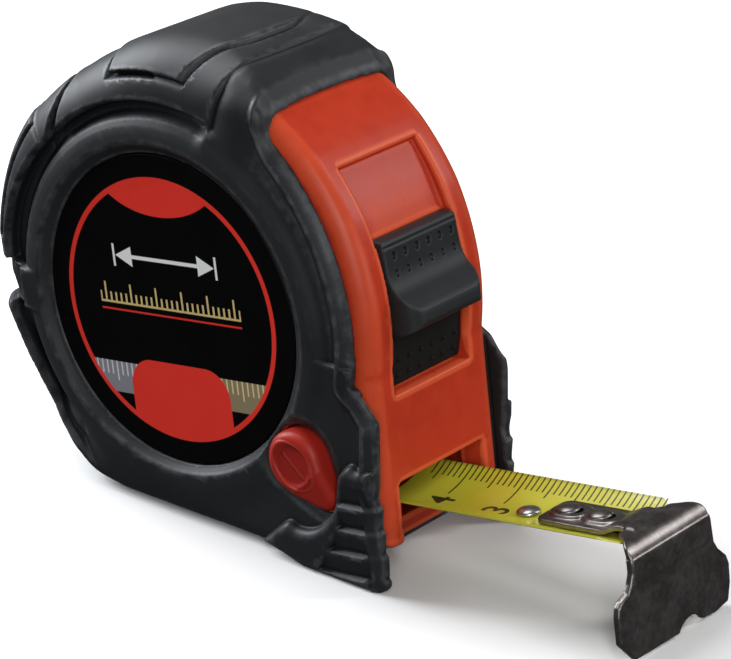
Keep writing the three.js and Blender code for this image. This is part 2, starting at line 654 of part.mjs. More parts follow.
function lockSlider() {
  // The apron, the lip's underside and its rounded edge, then the hollow pad up to its top edge.
  const profile = [
    [stemLowDeg, APRON_PROUD / 2],
    [LIP_DEG - 4.7, APRON_PROUD],
    [LIP_DEG - 3.5, APRON_PROUD + (LIP_PROUD - APRON_PROUD) / 3],
    [LIP_DEG - 1.8, LIP_PROUD * 0.83],
    [LIP_DEG, LIP_PROUD],
    [LIP_DEG + 1.9, LIP_PROUD * 0.96],
    [LIP_DEG + 3.7, DISH_PROUD + (LIP_PROUD - DISH_PROUD) * 0.61],
    [DISH_DEG - 3.4, DISH_PROUD + (LIP_PROUD - DISH_PROUD) / 6],
    [DISH_DEG, DISH_PROUD],
    [DISH_DEG + 4, (DISH_PROUD + PAD_TOP_PROUD) / 2],
    [WINDOW_TOP_DEG - 0.7, PAD_TOP_PROUD],
  ].map(([degrees, proud]) => polar(FRONT_X, REEL_Z, degrees, FRONT_R + proud));
  const padUnder = arc(FRONT_X, REEL_Z, padUnderR, WINDOW_TOP_DEG + 0.5, stemTopDeg, 5);
  const stemUnder = arc(FRONT_X, REEL_Z, plateOuterR + GAP, stemTopDeg, stemLowDeg, 5);
  return prism([...profile, ...padUnder, ...stemUnder], -LOCK_HALF_Y, LOCK_HALF_Y);
}

function lockPlate() {
  const lowDeg = WINDOW_LOW_DEG - LOCK_TRAVEL_DEG - 2;
  return sector(plateInnerR, plateOuterR, lowDeg, PLATE_TOP_DEG, windowHalfY + PLATE_OVERLAP)
    .add(sector(shoeBackR + GAP, plateInnerR + PLATE_T / 3, SHOE_LOW_DEG, SHOE_TOP_DEG, SHOE_HALF_Y));
}

// Its inner face is hollowed to the wound blade.
function brakeShoe() {
  return sector(COIL_OUTER_R - 2, shoeBackR, SHOE_LOW_DEG, SHOE_TOP_DEG, SHOE_HALF_Y)
    .subtract(rod(0, REEL_Z, COIL_OUTER_R + GAP, -SHOE_HALF_Y - PAST, SHOE_HALF_Y + PAST, 96));
}

place('lock_slider', lockSlider(), BLACK_PLASTIC);
place('lock_plate', lockPlate(), BLACK_PLASTIC);
place('brake_shoe', brakeShoe(), RUBBER);

// ---- stop button ------------------------------------------------------------------------------------
const lipOuterY = innerHalfY - GAP;
const lipInnerY = lipOuterY - BUTTON_LIP_T;

function stopButton() {
  const capY = -CASING_HALF_Y - BUTTON_PRESSED - BUTTON_TRAVEL;
  const cap = prism(teardrop(0), capY, BUTTON_ROUND - lipInnerY, BUTTON_ROUND);
  const cut = box(-FAR, FAR, -FAR, -lipInnerY, -FAR, FAR);
  return cap.intersect(cut).add(prism(teardrop(BUTTON_LIP), -lipOuterY, -lipInnerY));
}

function stopPad() {
  const [half, x, z] = [STOP_PAD_HALF, BUTTON_TAIL_X, BUTTON_TAIL_Z - STOP_PAD_DROP];
  const top = GAP - lipInnerY;
  return box(x - half, x + half, top, top + STOP_PAD_T, z - half, z + half);
}

function buttonSpring() {
  const start = GAP - lipInnerY + BUTTON_SPRING_WIRE / 2;
  const length = -SPRING_SEAT_Y - GAP - BUTTON_SPRING_WIRE / 2 - start;
  const steps = BUTTON_SPRING_TURNS * 10;
  const points = Array.from({ length: steps + 1 }, (_, i) => {
    const turn = (2 * Math.PI * BUTTON_SPRING_TURNS * i) / steps;
    const [x, z] = [BUTTON_SPRING_R * Math.cos(turn), BUTTON_SPRING_R * Math.sin(turn)];
    return new THREE.Vector3(BUTTON_X + x, start + (length * i) / steps, BUTTON_Z + z);
  });
  const wire = new THREE.Shape();
  wire.absarc(0, 0, BUTTON_SPRING_WIRE / 2, 0, 2 * Math.PI, false);
  const extrudePath = new THREE.CatmullRomCurve3(points);
  const options = { steps, extrudePath, curveSegments: 3, bevelEnabled: false };
  return toSolid(new THREE.ExtrudeGeometry(wire, options));
}

place('stop_button', stopButton(), BUTTON_RED);
place('stop_pad', stopPad(), RUBBER);
place('button_spring', buttonSpring(), STEEL);

// ---- case screws ------------------------------------------------------------------------------------
function caseScrew([x, z]) {
  const headBase = CASING_HALF_Y - SCREW_HEAD_T;
  const [arm, w] = [SCREW_DRIVE_HALF, SCREW_DRIVE_W / 2];
  const [driveLow, driveHigh] = [CASING_HALF_Y - SCREW_DRIVE_DEPTH, CASING_HALF_Y + PAST];
  const drive = box(x - arm, x + arm, driveLow, driveHigh, z - w, z + w)
    .add(box(x - w, x + w, driveLow, driveHigh, z - arm, z + arm));
  return rod(x, z, SCREW_R, -SCREW_REACH, headBase + SCREW_HEAD_T / 3)
    .add(rod(x, z, SCREW_HEAD_R, headBase, CASING_HALF_Y - SEAM))
    .subtract(drive);
}

screwPlaces.forEach((spot, i) => place(`case_screw_${i + 1}`, caseScrew(spot), STEEL));

// ---- belt clip, on the left side --------------------------------------------------------------------
const clipBackY = labelOuterY + GAP;

// Side view of the strip in Y and Z: a foot against the label, a step out, the arm, and a flared tip.
function beltClip() {
  const outY = clipBackY + CLIP_STAND;
  const stepZ = CLIP_TOP_Z - CLIP_FOOT;
  const path = [
    [clipBackY, CLIP_TOP_Z],
    [clipBackY, stepZ],
    [outY, stepZ - CLIP_STAND],
    [outY - CLIP_PINCH, CLIP_LOW_Z + CLIP_FLARE],
    [outY, CLIP_LOW_Z],
  ];
  const outline = [...path, ...path.map(([y, z]) => [y + CLIP_T, z]).reverse()];
  const shape = new THREE.Shape(outline.map(([y, z]) => new THREE.Vector2(y, z)));
  const geometry = new THREE.ExtrudeGeometry(shape, { depth: 2 * CLIP_HALF_X, bevelEnabled: false });
  geometry.rotateX(Math.PI / 2);
  geometry.rotateZ(Math.PI / 2);
  geometry.translate(-CLIP_HALF_X, 0, 0);
  return [-CLIP_SCREW_X, CLIP_SCREW_X].reduce(
    (solid, x) => solid.subtract(rod(x, clipScrewZ, CLIP_SCREW_R + SCREW_PLAY, 0, FAR)),
    toSolid(geometry),
  );
}

function clipScrew(x) {
  const headY = clipBackY + CLIP_T + SCREW_PLAY;
  return rod(x, clipScrewZ, CLIP_SCREW_R, innerHalfY - GAP, headY + CLIP_SCREW_HEAD_T / 3)
    .add(rod(x, clipScrewZ, CLIP_SCREW_HEAD_R, headY, headY + CLIP_SCREW_HEAD_T));
}

place('belt_clip', beltClip(), STEEL);
place('clip_screw_1', clipScrew(-CLIP_SCREW_X), STEEL);
place('clip_screw_2', clipScrew(CLIP_SCREW_X), STEEL);

export default model;
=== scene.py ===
"""Looks of a pocket tape measure: rubber over an orange casing, with a short stretch of blade drawn out.

Blender's objects are in metres; shapes are worked out in millimetres. +X is the way the blade leaves,
and the stop button and the dial label are on the -Y side.
"""

import json
import math

import bmesh
import bpy
import numpy as np
import openvdb as vdb
from mathutils import Matrix, Vector

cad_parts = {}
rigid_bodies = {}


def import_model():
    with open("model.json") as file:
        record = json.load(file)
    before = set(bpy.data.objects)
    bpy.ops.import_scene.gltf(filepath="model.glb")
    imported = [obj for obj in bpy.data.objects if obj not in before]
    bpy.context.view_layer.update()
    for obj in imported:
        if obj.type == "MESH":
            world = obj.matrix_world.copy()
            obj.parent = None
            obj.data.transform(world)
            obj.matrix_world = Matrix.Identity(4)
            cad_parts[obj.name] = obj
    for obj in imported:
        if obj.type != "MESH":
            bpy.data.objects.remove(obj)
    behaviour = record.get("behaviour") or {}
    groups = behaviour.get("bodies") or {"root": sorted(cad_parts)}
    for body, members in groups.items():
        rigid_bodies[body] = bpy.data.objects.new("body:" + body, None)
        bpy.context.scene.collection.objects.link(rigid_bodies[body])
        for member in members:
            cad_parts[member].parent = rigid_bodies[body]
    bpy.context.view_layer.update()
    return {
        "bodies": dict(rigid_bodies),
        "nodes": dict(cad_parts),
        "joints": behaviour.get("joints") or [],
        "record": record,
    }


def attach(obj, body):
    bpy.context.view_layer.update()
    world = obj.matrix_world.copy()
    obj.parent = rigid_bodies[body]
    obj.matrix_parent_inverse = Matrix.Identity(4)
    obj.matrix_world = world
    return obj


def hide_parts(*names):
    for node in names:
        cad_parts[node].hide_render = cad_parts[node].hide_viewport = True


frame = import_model()
MM = 0.001

# ---- sizes, in millimetres ---------------------------------------------------------------------------
PARTING_Y = 1.5  # the right and left halves meet here
REEL_Z = 32.0
FRONT_X = -3.8  # centre of the front arc, level with the reel
FRONT_R = 39.5
TOP_ANGLE = 57  # where the front arc ends, in degrees
HEEL_X, BASE_Z = -19.6, 1.3  # the slope of the back runs down to this point
HEEL_R = 10.0
CROWN_R = 34.8
HALVES_GAP = 0.003  # each half ends this far from the parting plane
CASING_HALF_Y = 13.5
CASING_ROUND = 2.7
WALL = 1.7
FLOOR_Z = 2.7
MOUTH_HALF = 9.6  # half the width of the blade's mouth and of the cut under it
WINDOW_HALF = 8.5  # half the width of the thumb lock's window and track
JACKET = 3.2  # from the casing's face to the rubber's, over the back and the top
SIDE_Y = 15.5  # the rubber's flat sides
BUMPER_Y = 16.7
BUTTON = (24.5, 15.8, 4.75)  # X, Z and radius of the push button's round end
BUTTON_TAIL = (29.1, 11.3, 2.1)  # the same for its narrow end
BUTTON_FACE_Y = -16.8
SPRING = (24.3, 15.6)  # axis of the button's return spring
LABEL_R = 23.4
LABEL_OUT_Y = 14.3
LABEL_ROUND = 0.35
SLIDER_HALF = 8.2
DOT_SIDE, DOT_APART = -6.1, 2.55  # first dot of a row on the thumb lock, and the next ones
CLIP_SCREWS = ((-4.0, 49.5), (4.0, 49.5))
BLADE_HALF = 8.0
BLADE_RISE = 2.3  # the blade's edges above its lowest line
BLADE_T = 0.25
BLADE_START, BLADE_TIP = -8, 36.2  # along the blade, from the mouth
HOOK_RIVETS = (23.0, 28.5)
DIGIT_SIZE = 6.0


# ---- camera, floor and lights ------------------------------------------------------------------------
def look_along(thing, place, target):
    """Stands a camera or a light at a place, looking at a target, both in millimetres."""
    thing.location = Vector(place) * MM
    thing.rotation_mode = "QUATERNION"
    thing.rotation_quaternion = (Vector(target) - Vector(place)).to_track_quat("-Z", "Y")


def link(name, data):
    """An object for some data, in the scene."""
    made = bpy.data.objects.new(name, data)
    bpy.context.scene.collection.objects.link(made)
    return made


def stand(name, mesh, frame):
    """An object for a mesh in millimetres, stood in a frame."""
    mesh.transform(Matrix.Scale(MM, 4) @ frame)
    return link(name, mesh)


def final_mesh(thing):
    """A thing's mesh with its text or modifiers worked out."""
    bpy.context.view_layer.update()
    return bpy.data.meshes.new_from_object(thing.evaluated_get(bpy.context.evaluated_depsgraph_get()))


def camera():
    turn, rise, away = math.radians(39.08), math.radians(23.09), 500
    back = Vector((math.sin(turn) * math.cos(rise), -math.cos(turn) * math.cos(rise), math.sin(rise)))
    target = Vector((24.39, 0, 30.9))
    data = bpy.data.cameras.new("camera")
    data.lens = 173.04
    data.sensor_width = 36
    data.clip_start = 0.01
    data.clip_end = 20
    made = link("camera", data)
    look_along(made, target + back * away, target)
    bpy.context.scene.camera = made


def softbox(name, place, target, size, watts, colour=(1, 1, 1)):
    data = bpy.data.lights.new(name, "AREA")
    data.shape = "RECTANGLE"
    data.size = size[0] * MM
    data.size_y = size[1] * MM
    data.energy = watts
    data.color = colour
    look_along(link(name, data), place, target)


camera()
softbox("left_softbox", (-420, -60, 260), (0, 0, 35), (260, 320), 3.5, (0.93, 0.96, 1.0))
softbox("top_softbox", (-200, 40, 480), (0, 0, 40), (320, 260), 1.5)
softbox("rear_strip", (300, 330, 330), (20, 0, 50), (80, 260), 0.8)
softbox("front_strip", (340, -310, 330), (25, 0, 30), (70, 320), 0.65)
softbox("side_softbox", (330, -420, 180), (20, 0, 30), (300, 300), 0.85)
softbox("low_fill", (450, 60, 140), (30, 0, 15), (200, 200), 0.36)


# ---- shader and geometry graphs ----------------------------------------------------------------------
def operator(operation, swapped=False):
    """A method of Value that adds one Math node; `swapped` puts the other term first."""

    def method(self, *others):
        terms = (*others, self) if swapped else (self, *others)
        return self.maths(operation, *terms)

    return method


class Value:
    """One output of a node; arithmetic on it adds Math nodes."""

    def __init__(self, graph, socket):
        self.graph = graph
        self.socket = socket

    def maths(self, operation, *terms):
        return self.graph.node("ShaderNodeMath", {"operation": operation}, dict(enumerate(terms)))

    __add__, __radd__ = operator("ADD"), operator("ADD", True)
    __sub__, __rsub__ = operator("SUBTRACT"), operator("SUBTRACT", True)
    __mul__, __rmul__ = operator("MULTIPLY"), operator("MULTIPLY", True)
    __truediv__, __mod__ = operator("DIVIDE"), operator("FLOORED_MODULO")
    __lt__, __abs__ = operator("LESS_THAN"), operator("ABSOLUTE")
    root, most = operator("SQRT"), operator("MAXIMUM")
    sine, cosine = operator("SINE"), operator("COSINE")

    def __neg__(self):
        return self * -1.0


def away_from(a, b):
    """How far a point (a, b) is from the origin, for links."""
    return (a * a + b * b).root()


class Graph:
    """A node tree that is filled through one method."""

    def __init__(self, tree):
        self.tree = tree

    def node(self, kind, settings=None, sockets=None, output=0):
        """Adds a node: its settings first, then the values or links of its sockets."""
        made = self.tree.nodes.new(kind)
        for key, value in (settings or {}).items():
            setattr(made, key, value)
        for key, value in (sockets or {}).items():
            if isinstance(value, Value):
                self.tree.links.new(value.socket, made.inputs[key])
            else:
                made.inputs[key].default_value = value
        return Value(self, made.outputs[output]) if made.outputs else None

    def vector(self, *parts):
        return self.node("ShaderNodeCombineXYZ", {}, dict(enumerate(parts)))


class Finish(Graph):
    """A material on the Principled shader; `constants` go straight onto the shader's sockets."""

    def __init__(self, name, **constants):
        self.material = bpy.data.materials.new(name)
        self.material.use_nodes = True
        super().__init__(self.material.node_tree)
        self.tree.nodes.clear()
        self.shader = self.tree.nodes.new("ShaderNodeBsdfPrincipled")
        for key, value in constants.items():
            self.shader.inputs[key.replace("_", " ").title().replace("Ior", "IOR")].default_value = value
        result = Value(self, self.shader.outputs["BSDF"])
        self.node("ShaderNodeOutputMaterial", {}, {"Surface": result})
        self.where = self.node("ShaderNodeTexCoord", output="Object")
        self.axes = [self.node("ShaderNodeSeparateXYZ", {}, {0: self.where}, i) * 1000.0 for i in range(3)]

    def drive(self, socket, value):
        self.tree.links.new(value.socket, self.shader.inputs[socket])

    def cloud(self, size, detail=3.0, roughness=0.55, stretch=(1, 1, 1)):
        """Noise whose blobs are about `size` millimetres across."""
        turned = self.node("ShaderNodeMapping", {}, {"Vector": self.where, "Scale": stretch})
        sockets = {"Vector": turned, "Scale": 1000.0 / size, "Detail": detail, "Roughness": roughness}
        return self.node("ShaderNodeTexNoise", {}, sockets, "Fac")

    def ramp(self, value, low, high, smooth=True):
        """0 below `low`, 1 above `high`."""
        kind = "SMOOTHSTEP" if smooth else "LINEAR"
        sockets = {"Value": value, "From Min": low, "From Max": high}
        return self.node("ShaderNodeMapRange", {"interpolation_type": kind}, sockets)

    def mix(self, factor, colour, other):
        """Blends two colours, each a triple or a link."""
        full = [(*c, 1.0) if isinstance(c, tuple) else c for c in (colour, other)]
        sockets = {0: factor, 6: full[0], 7: full[1]}
        return self.node("ShaderNodeMix", {"data_type": "RGBA"}, sockets, 2)

    def attribute(self, name):
        return self.node("ShaderNodeAttribute", {"attribute_name": name}, {}, "Fac")

    def bump(self, height, depth, strength=1.0):
        """Relief of `depth` millimetres from a height that runs from 0 to 1."""
        sockets = {"Height": height, "Distance": depth * MM, "Strength": strength}
        return self.node("ShaderNodeBump", {}, sockets)

    def clouded(self, broad, fine, dark, light):
        """Drifts between two colours with a broad and a fine noise."""
        return self.mix(self.ramp(broad * 0.6 + fine * 0.4, 0.35, 0.65), dark, light)

    def edge(self, low, high):
        """0 on flat places, 1 where the surface bends outward by `high` or more per millimetre."""
        return self.ramp(self.attribute("edge"), low, high)


def rubber_finish():
    finish = Finish("soft_touch_rubber", specular_ior_level=0.32)
    broad, fine, grain = finish.cloud(14), finish.cloud(2.2, 4.0), finish.cloud(0.22, 2.0)
    edge = finish.edge(0.12, 1.1)
    dull = finish.mix(finish.ramp(broad, 0.3, 0.7), (0.012, 0.0135, 0.015), (0.017, 0.019, 0.0215))
    # Convex edges turn paler in patches: partly wear, partly a painted highlight.
    wear_and_sheen = finish.mix(edge * finish.ramp(fine, 0.3, 0.7) * 0.6, dull, (0.085, 0.09, 0.1))
    # Concave grooves get a painted shade, close to black.
    groove = finish.ramp(0.0 - finish.attribute("edge"), 0.25, 1.3)
    finish.drive("Base Color", finish.mix(groove * 0.75, wear_and_sheen, (0.003, 0.0032, 0.0035)))
    finish.drive("Roughness", 0.45 + fine * 0.06 + broad * 0.05 - edge * 0.04)
    finish.drive("Normal", finish.bump(grain * 0.8 + fine * 0.2, 0.03, 0.3))
    return finish.material


def moulded_finish(name, dark, light, rough, shine=0.5, painted_highlight=None, crease=2.0):
    """Moulded plastic: a little cloudy, with a fine texture, and a paler painted highlight where it bends by
    `crease`.
    """
    finish = Finish(name, specular_ior_level=shine)
    broad, fine, grains = finish.cloud(18), finish.cloud(3.0, 4.0), finish.cloud(0.5, 2.0)
    # The painted highlight is a paler copy of the light colour unless one is given.
    painted_highlight = painted_highlight or tuple(min(1.0, 1.25 * c + 0.01) for c in light)
    body = finish.clouded(broad, fine, dark, light)
    finish.drive("Base Color", finish.mix(finish.edge(0.1 * crease, crease) * 0.6, body, painted_highlight))
    finish.drive("Roughness", rough - 0.05 + fine * 0.1)
    finish.drive("Normal", finish.bump(grains, 0.02, 0.4))
    return finish.material


def slider_finish():
    """Black plastic: satin on the thumb rest, duller on the plate below its lip, where it is also painted
    darker with shade.
    """
    finish = Finish("black_slider", specular_ior_level=0.3)
    broad, fine, grains = finish.cloud(18), finish.cloud(3.0, 4.0), finish.cloud(0.5, 2.0)
    lip_z = 36.8
    # Mask of the plate below the lip: rougher, and painted with shade.
    plate = finish.ramp(lip_z - finish.axes[2], 0.0, 1.6)
    rest = finish.clouded(broad, fine, (0.010, 0.011, 0.012), (0.015, 0.0165, 0.018))
    # Convex edges turn paler: partly wear, partly a painted highlight.
    wear_and_sheen = finish.mix(finish.edge(0.2, 2.0) * 0.5, rest, (0.03, 0.032, 0.036))
    finish.drive("Base Color", finish.mix(plate, wear_and_sheen, (0.002, 0.002, 0.0022)))
    finish.drive("Roughness", 0.45 + fine * 0.1 + plate * 0.3)
    finish.drive("Normal", finish.bump(grains, 0.02, 0.4))
    return finish.material


def metal_finish(name, dark, light, rough):
    """Metal with broad stains and fine scuffs in its colour, gloss and relief."""
    finish = Finish(name, metallic=1.0)
    stain, lines = finish.cloud(4.0, 5.0), finish.cloud(1.0, 6.0, 0.7)
    finish.drive("Base Color", finish.clouded(stain, lines, dark, light))
    finish.drive("Roughness", rough - 0.08 + stain * 0.1 + lines * 0.1)
    finish.drive("Normal", finish.bump(lines, 0.02, 0.5))
    return finish.material


def blade_finish():
    """Yellow lacquer over spring steel, painted darker along the edges as shade."""
    finish = Finish("blade_lacquer", coat_weight=0.5, coat_roughness=0.12)
    across = abs(finish.axes[1])
    broad, fine = finish.cloud(9.0, 3.0, 0.5, (0.3, 1, 1)), finish.cloud(0.5, 3.0)
    body = finish.mix(finish.ramp(broad, 0.3, 0.7), (0.74, 0.72, 0.05), (0.82, 0.80, 0.07))
    # A painted shade along the blade's edges.
    rim = finish.mix(finish.ramp(across, BLADE_HALF - 0.8, BLADE_HALF), body, (0.48, 0.47, 0.03))
    finish.drive("Base Color", rim)
    finish.drive("Roughness", 0.3 + fine * 0.15)
    finish.drive("Normal", finish.bump(fine, 0.01, 0.3))
    return finish.material


def label_finish(printed):
    """A glossy disc, black with a red ring; a printed one also has an arrow, ruler strips and a tab."""
    finish = Finish("label_print" if printed else "label_plain", specular_ior_level=0.06)
    lean = math.radians(-8.0 if printed else 8.0)
    x, z = finish.axes[0], finish.axes[2] - REEL_Z
    u = x * math.cos(lean) + z * -math.sin(lean)
    v = x * math.sin(lean) + z * math.cos(lean)
    rho = away_from(u, v)
    black = finish.mix(finish.cloud(6.0), (0.0015, 0.0015, 0.0018), (0.003, 0.003, 0.0035))
    red = finish.mix(finish.cloud(5.0), (0.74, 0.037, 0.026), (0.80, 0.046, 0.030))
    ring_r, ring_half = 19.5, 0.4

    def inside(amount):
        """1 where a distance in millimetres is above 0, with a soft edge."""
        return finish.ramp(amount, -0.05, 0.05, False)

    def beside(place, pitch):
        """Distance to the nearest mark of a scale; the marks are half way along each pitch."""
        return abs(place % pitch - pitch / 2)

    def bar(middle, half):
        """A level band round a height."""
        return inside(half - abs(v - middle))

    disc = inside(ring_r - 0.3 - rho)
    face = finish.mix(inside(ring_half - abs(rho - ring_r)), black, red)
    if printed:
        # A red lens at the top, and a strip in steel and brass colours with pale ticks.
        lens = disc * inside(7.6 - away_from(u * 0.62, v - 21.6))
        face = finish.mix(lens, face, red)
        strip = disc * bar(-11.6, 2.4)
        side = inside(u)
        face = finish.mix(strip, face, finish.mix(side, (0.24, 0.24, 0.27), (0.27, 0.22, 0.13)))
        place = u * 1.02 + 100.0
        long = inside(0.2 - beside(place, 5.0))
        reach = finish.ramp(v, -11.4, -11.2) * (1.0 - long) + long * finish.ramp(v, -12.3, -12.1)
        ticks = strip * reach * finish.ramp(beside(place, 1.0), 0.16, 0.12)
        face = finish.mix(ticks, face, finish.mix(side, (0.62, 0.62, 0.66), (0.72, 0.58, 0.30)))

        # A red tab with round corners at the bottom.
        tab_corner = away_from((abs(u) - 5.2).most(0.0), (v + 12.6).most(0.0))
        face = finish.mix(disc * inside(4.4 - tab_corner), face, red)

        # A golden ruler over a red line.
        gold = finish.mix(finish.cloud(1.2), (0.60, 0.45, 0.17), (0.70, 0.55, 0.25))
        width = inside(13.6 - abs(u))
        face = finish.mix(disc * width * bar(-1.0, 0.14), face, red)
        place = u + 100.0
        top = 1.6 + inside(0.2 - beside(place, 5.0)) * 1.5
        scale = width * inside(v) * inside(top - v) * finish.ramp(beside(place, 1.0), 0.2, 0.15)
        face = finish.mix(scale.most(width * bar(0.1, 0.16)), face, gold)

        # A white arrow with two ends, between bars.
        arrow_v = 7.4
        shaft = inside(7.4 - abs(u)) * bar(arrow_v, 0.28)
        head = inside(abs(u) - 6.4) * inside((9.6 - abs(u)) * 0.48 - abs(v - arrow_v)) * inside(9.6 - abs(u))
        ends = inside(0.2 - abs(abs(u) - 9.9)) * bar(arrow_v, 1.7)
        face = finish.mix(shaft.most(head).most(ends), face, (0.82, 0.82, 0.82))
    finish.drive("Base Color", face)
    finish.drive("Roughness", 0.32 + finish.cloud(2.0) * 0.1)
    finish.drive("Normal", finish.bump(finish.cloud(0.6), 0.01, 0.3))
    return finish.material


def button_finish():
    """Satin red plastic with a faint raised oval and a slanting line on its face."""
    finish = Finish("button_red", specular_ior_level=0.3, coat_weight=0.05, coat_roughness=0.3)
    x, z = finish.axes[0] - 24.6, finish.axes[2] - 15.5
    lean = math.radians(-38)
    u = x * math.cos(lean) + z * math.sin(lean)
    v = z * math.cos(lean) - x * math.sin(lean)
    oval = away_from(u / 4.0, v / 3.1)
    ring = finish.ramp(abs(oval - 1.0), 0.1, 0.02)
    line = finish.ramp(abs(v), 0.32, 0.1) * finish.ramp(abs(u), 2.7, 2.4)
    relief = ring.most(line)
    broad, fine = finish.cloud(7.0), finish.cloud(0.8, 3.0)
    body = finish.mix(broad, (0.36, 0.017, 0.010), (0.43, 0.024, 0.013))
    face = finish.mix(finish.ramp(oval, 1.0, 0.9) * 0.5, body, (0.24, 0.009, 0.007))
    finish.drive("Base Color", finish.mix(relief * 0.25, face, (0.5, 0.06, 0.04)))
    finish.drive("Roughness", 0.4 + fine * 0.12)
    finish.drive("Normal", finish.bump(relief + fine * 0.05, 0.16, 0.8))
    return finish.material


def floor_finish():
    finish = Finish("studio_paper", specular_ior_level=0.1)
    finish.drive("Base Color", finish.mix(finish.cloud(60.0), (0.90, 0.90, 0.90), (0.92, 0.92, 0.92)))
    finish.drive("Roughness", 0.85 + finish.cloud(5.0) * 0.1)
    return finish.material


FINISHES = {
    # The orange's rounded edges get a painted highlight in a paler orange.
    "orange_plastic": moulded_finish(
        "orange_casing", (0.46, 0.033, 0.0115), (0.53, 0.043, 0.015), 0.36, 0.24, (0.8, 0.13, 0.045), 0.7
    ),
    "black_rubber": rubber_finish(),
    "label": label_finish(True),
    "black_plastic": slider_finish(),
    # The reel's bends get the default painted highlight.
    "pale_plastic": moulded_finish("pale_reel", (0.55, 0.53, 0.47), (0.63, 0.61, 0.55), 0.5),
    "red_plastic": button_finish(),
    "steel": metal_finish("zinc_plate", (0.42, 0.42, 0.43), (0.55, 0.55, 0.56), 0.3),
    "hook_steel": metal_finish("blackened_hook", (0.16, 0.145, 0.14), (0.27, 0.25, 0.245), 0.33),
    "spring_steel": metal_finish("spring_steel", (0.20, 0.21, 0.24), (0.30, 0.31, 0.34), 0.3),
    "blade_paint": blade_finish(),
}


# ---- blocks of space: shapes as distances ------------------------------------------------------------
def polar(x, z, degrees, radius):
    angle = math.radians(degrees)
    return x + radius * math.cos(angle), z + radius * math.sin(angle)


def arc(x, z, radius, start, end, steps):
    return [polar(x, z, start + (end - start) * i / steps, radius) for i in range(steps + 1)]


def offset(outline, distance):
    """Moves a counter-clockwise outline outward by `distance`."""
    points = np.array(outline)
    ahead = np.roll(points, -1, 0) - points
    ahead /= np.linalg.norm(ahead, axis=1)[:, None]
    after = np.stack([ahead[:, 1], -ahead[:, 0]], 1)
    before = np.roll(after, 1, 0)
    reach = distance / (1 + (after * before).sum(1))
    return points + (after + before) * reach[:, None]


def curve(points, steps=8):
    """A smooth line through the points (Catmull-Rom)."""
    points = np.array(points, float)
    padded = np.concatenate([2 * points[:1] - points[1:2], points, 2 * points[-1:] - points[-2:-1]])
    t = (np.arange(steps) / steps)[:, None]
    parts = []
    for a, b, c, d in zip(padded, padded[1:], padded[2:], padded[3:]):
        bend, twist = 2 * a - 5 * b + 4 * c - d, 3 * b - a - 3 * c + d
        parts.append(0.5 * (2 * b + (c - a) * t + bend * t**2 + twist * t**3))
    return np.concatenate([*parts, points[-1:]])


def line_distance(a, b, line):
    """Distance in a plane to an open line of points."""
    a, b = np.broadcast_arrays(a, b)
    near = np.full(a.shape, np.inf)
    for (pa, pb), (qa, qb) in zip(line, line[1:]):
        ea, eb = qa - pa, qb - pb
        along = np.clip(((a - pa) * ea + (b - pb) * eb) / (ea * ea + eb * eb), 0, 1)
        near = np.minimum(near, np.hypot(a - pa - along * ea, b - pb - along * eb))
    return near


def outline_distance(a, b, outline):
    """Signed distance in a plane to a closed outline, negative inside."""
    closed = [*outline, outline[0]]
    near = line_distance(a, b, closed)
    inside = np.zeros(near.shape, bool)
    for (pa, pb), (qa, qb) in zip(closed, closed[1:]):
        inside ^= ((pb > b) != (qb > b)) & (a < (qa - pa) * (b - pb) / ((qb - pb) or 1.0) + pa)
    return np.where(inside, -near, near)


def step(low, high, value):
    """Rises smoothly from 0 at `low` to 1 at `high`."""
    t = np.clip((value - low) / (high - low), 0, 1)
    return t * t * (3 - 2 * t)


def band(value, low, high, soft):
    """1 between `low` and `high`, fading over `soft` on either side."""
    return step(low - soft, low, value) * (1 - step(high, high + soft, value))


def both(a, b, rounding=None):
    """What two shapes share, with the edge between them rounded."""
    if rounding is None:
        return np.maximum(a, b)
    a, b = a + rounding, b + rounding
    return np.hypot(np.maximum(a, 0), np.maximum(b, 0)) + np.minimum(np.maximum(a, b), 0) - rounding


def joined(a, b, rounding):
    """Two shapes as one, with a fillet between them."""
    return -both(-a, -b, rounding)


def without(a, b, rounding=None):
    """The first shape with the second one cut away."""
    return both(a, -b, rounding)


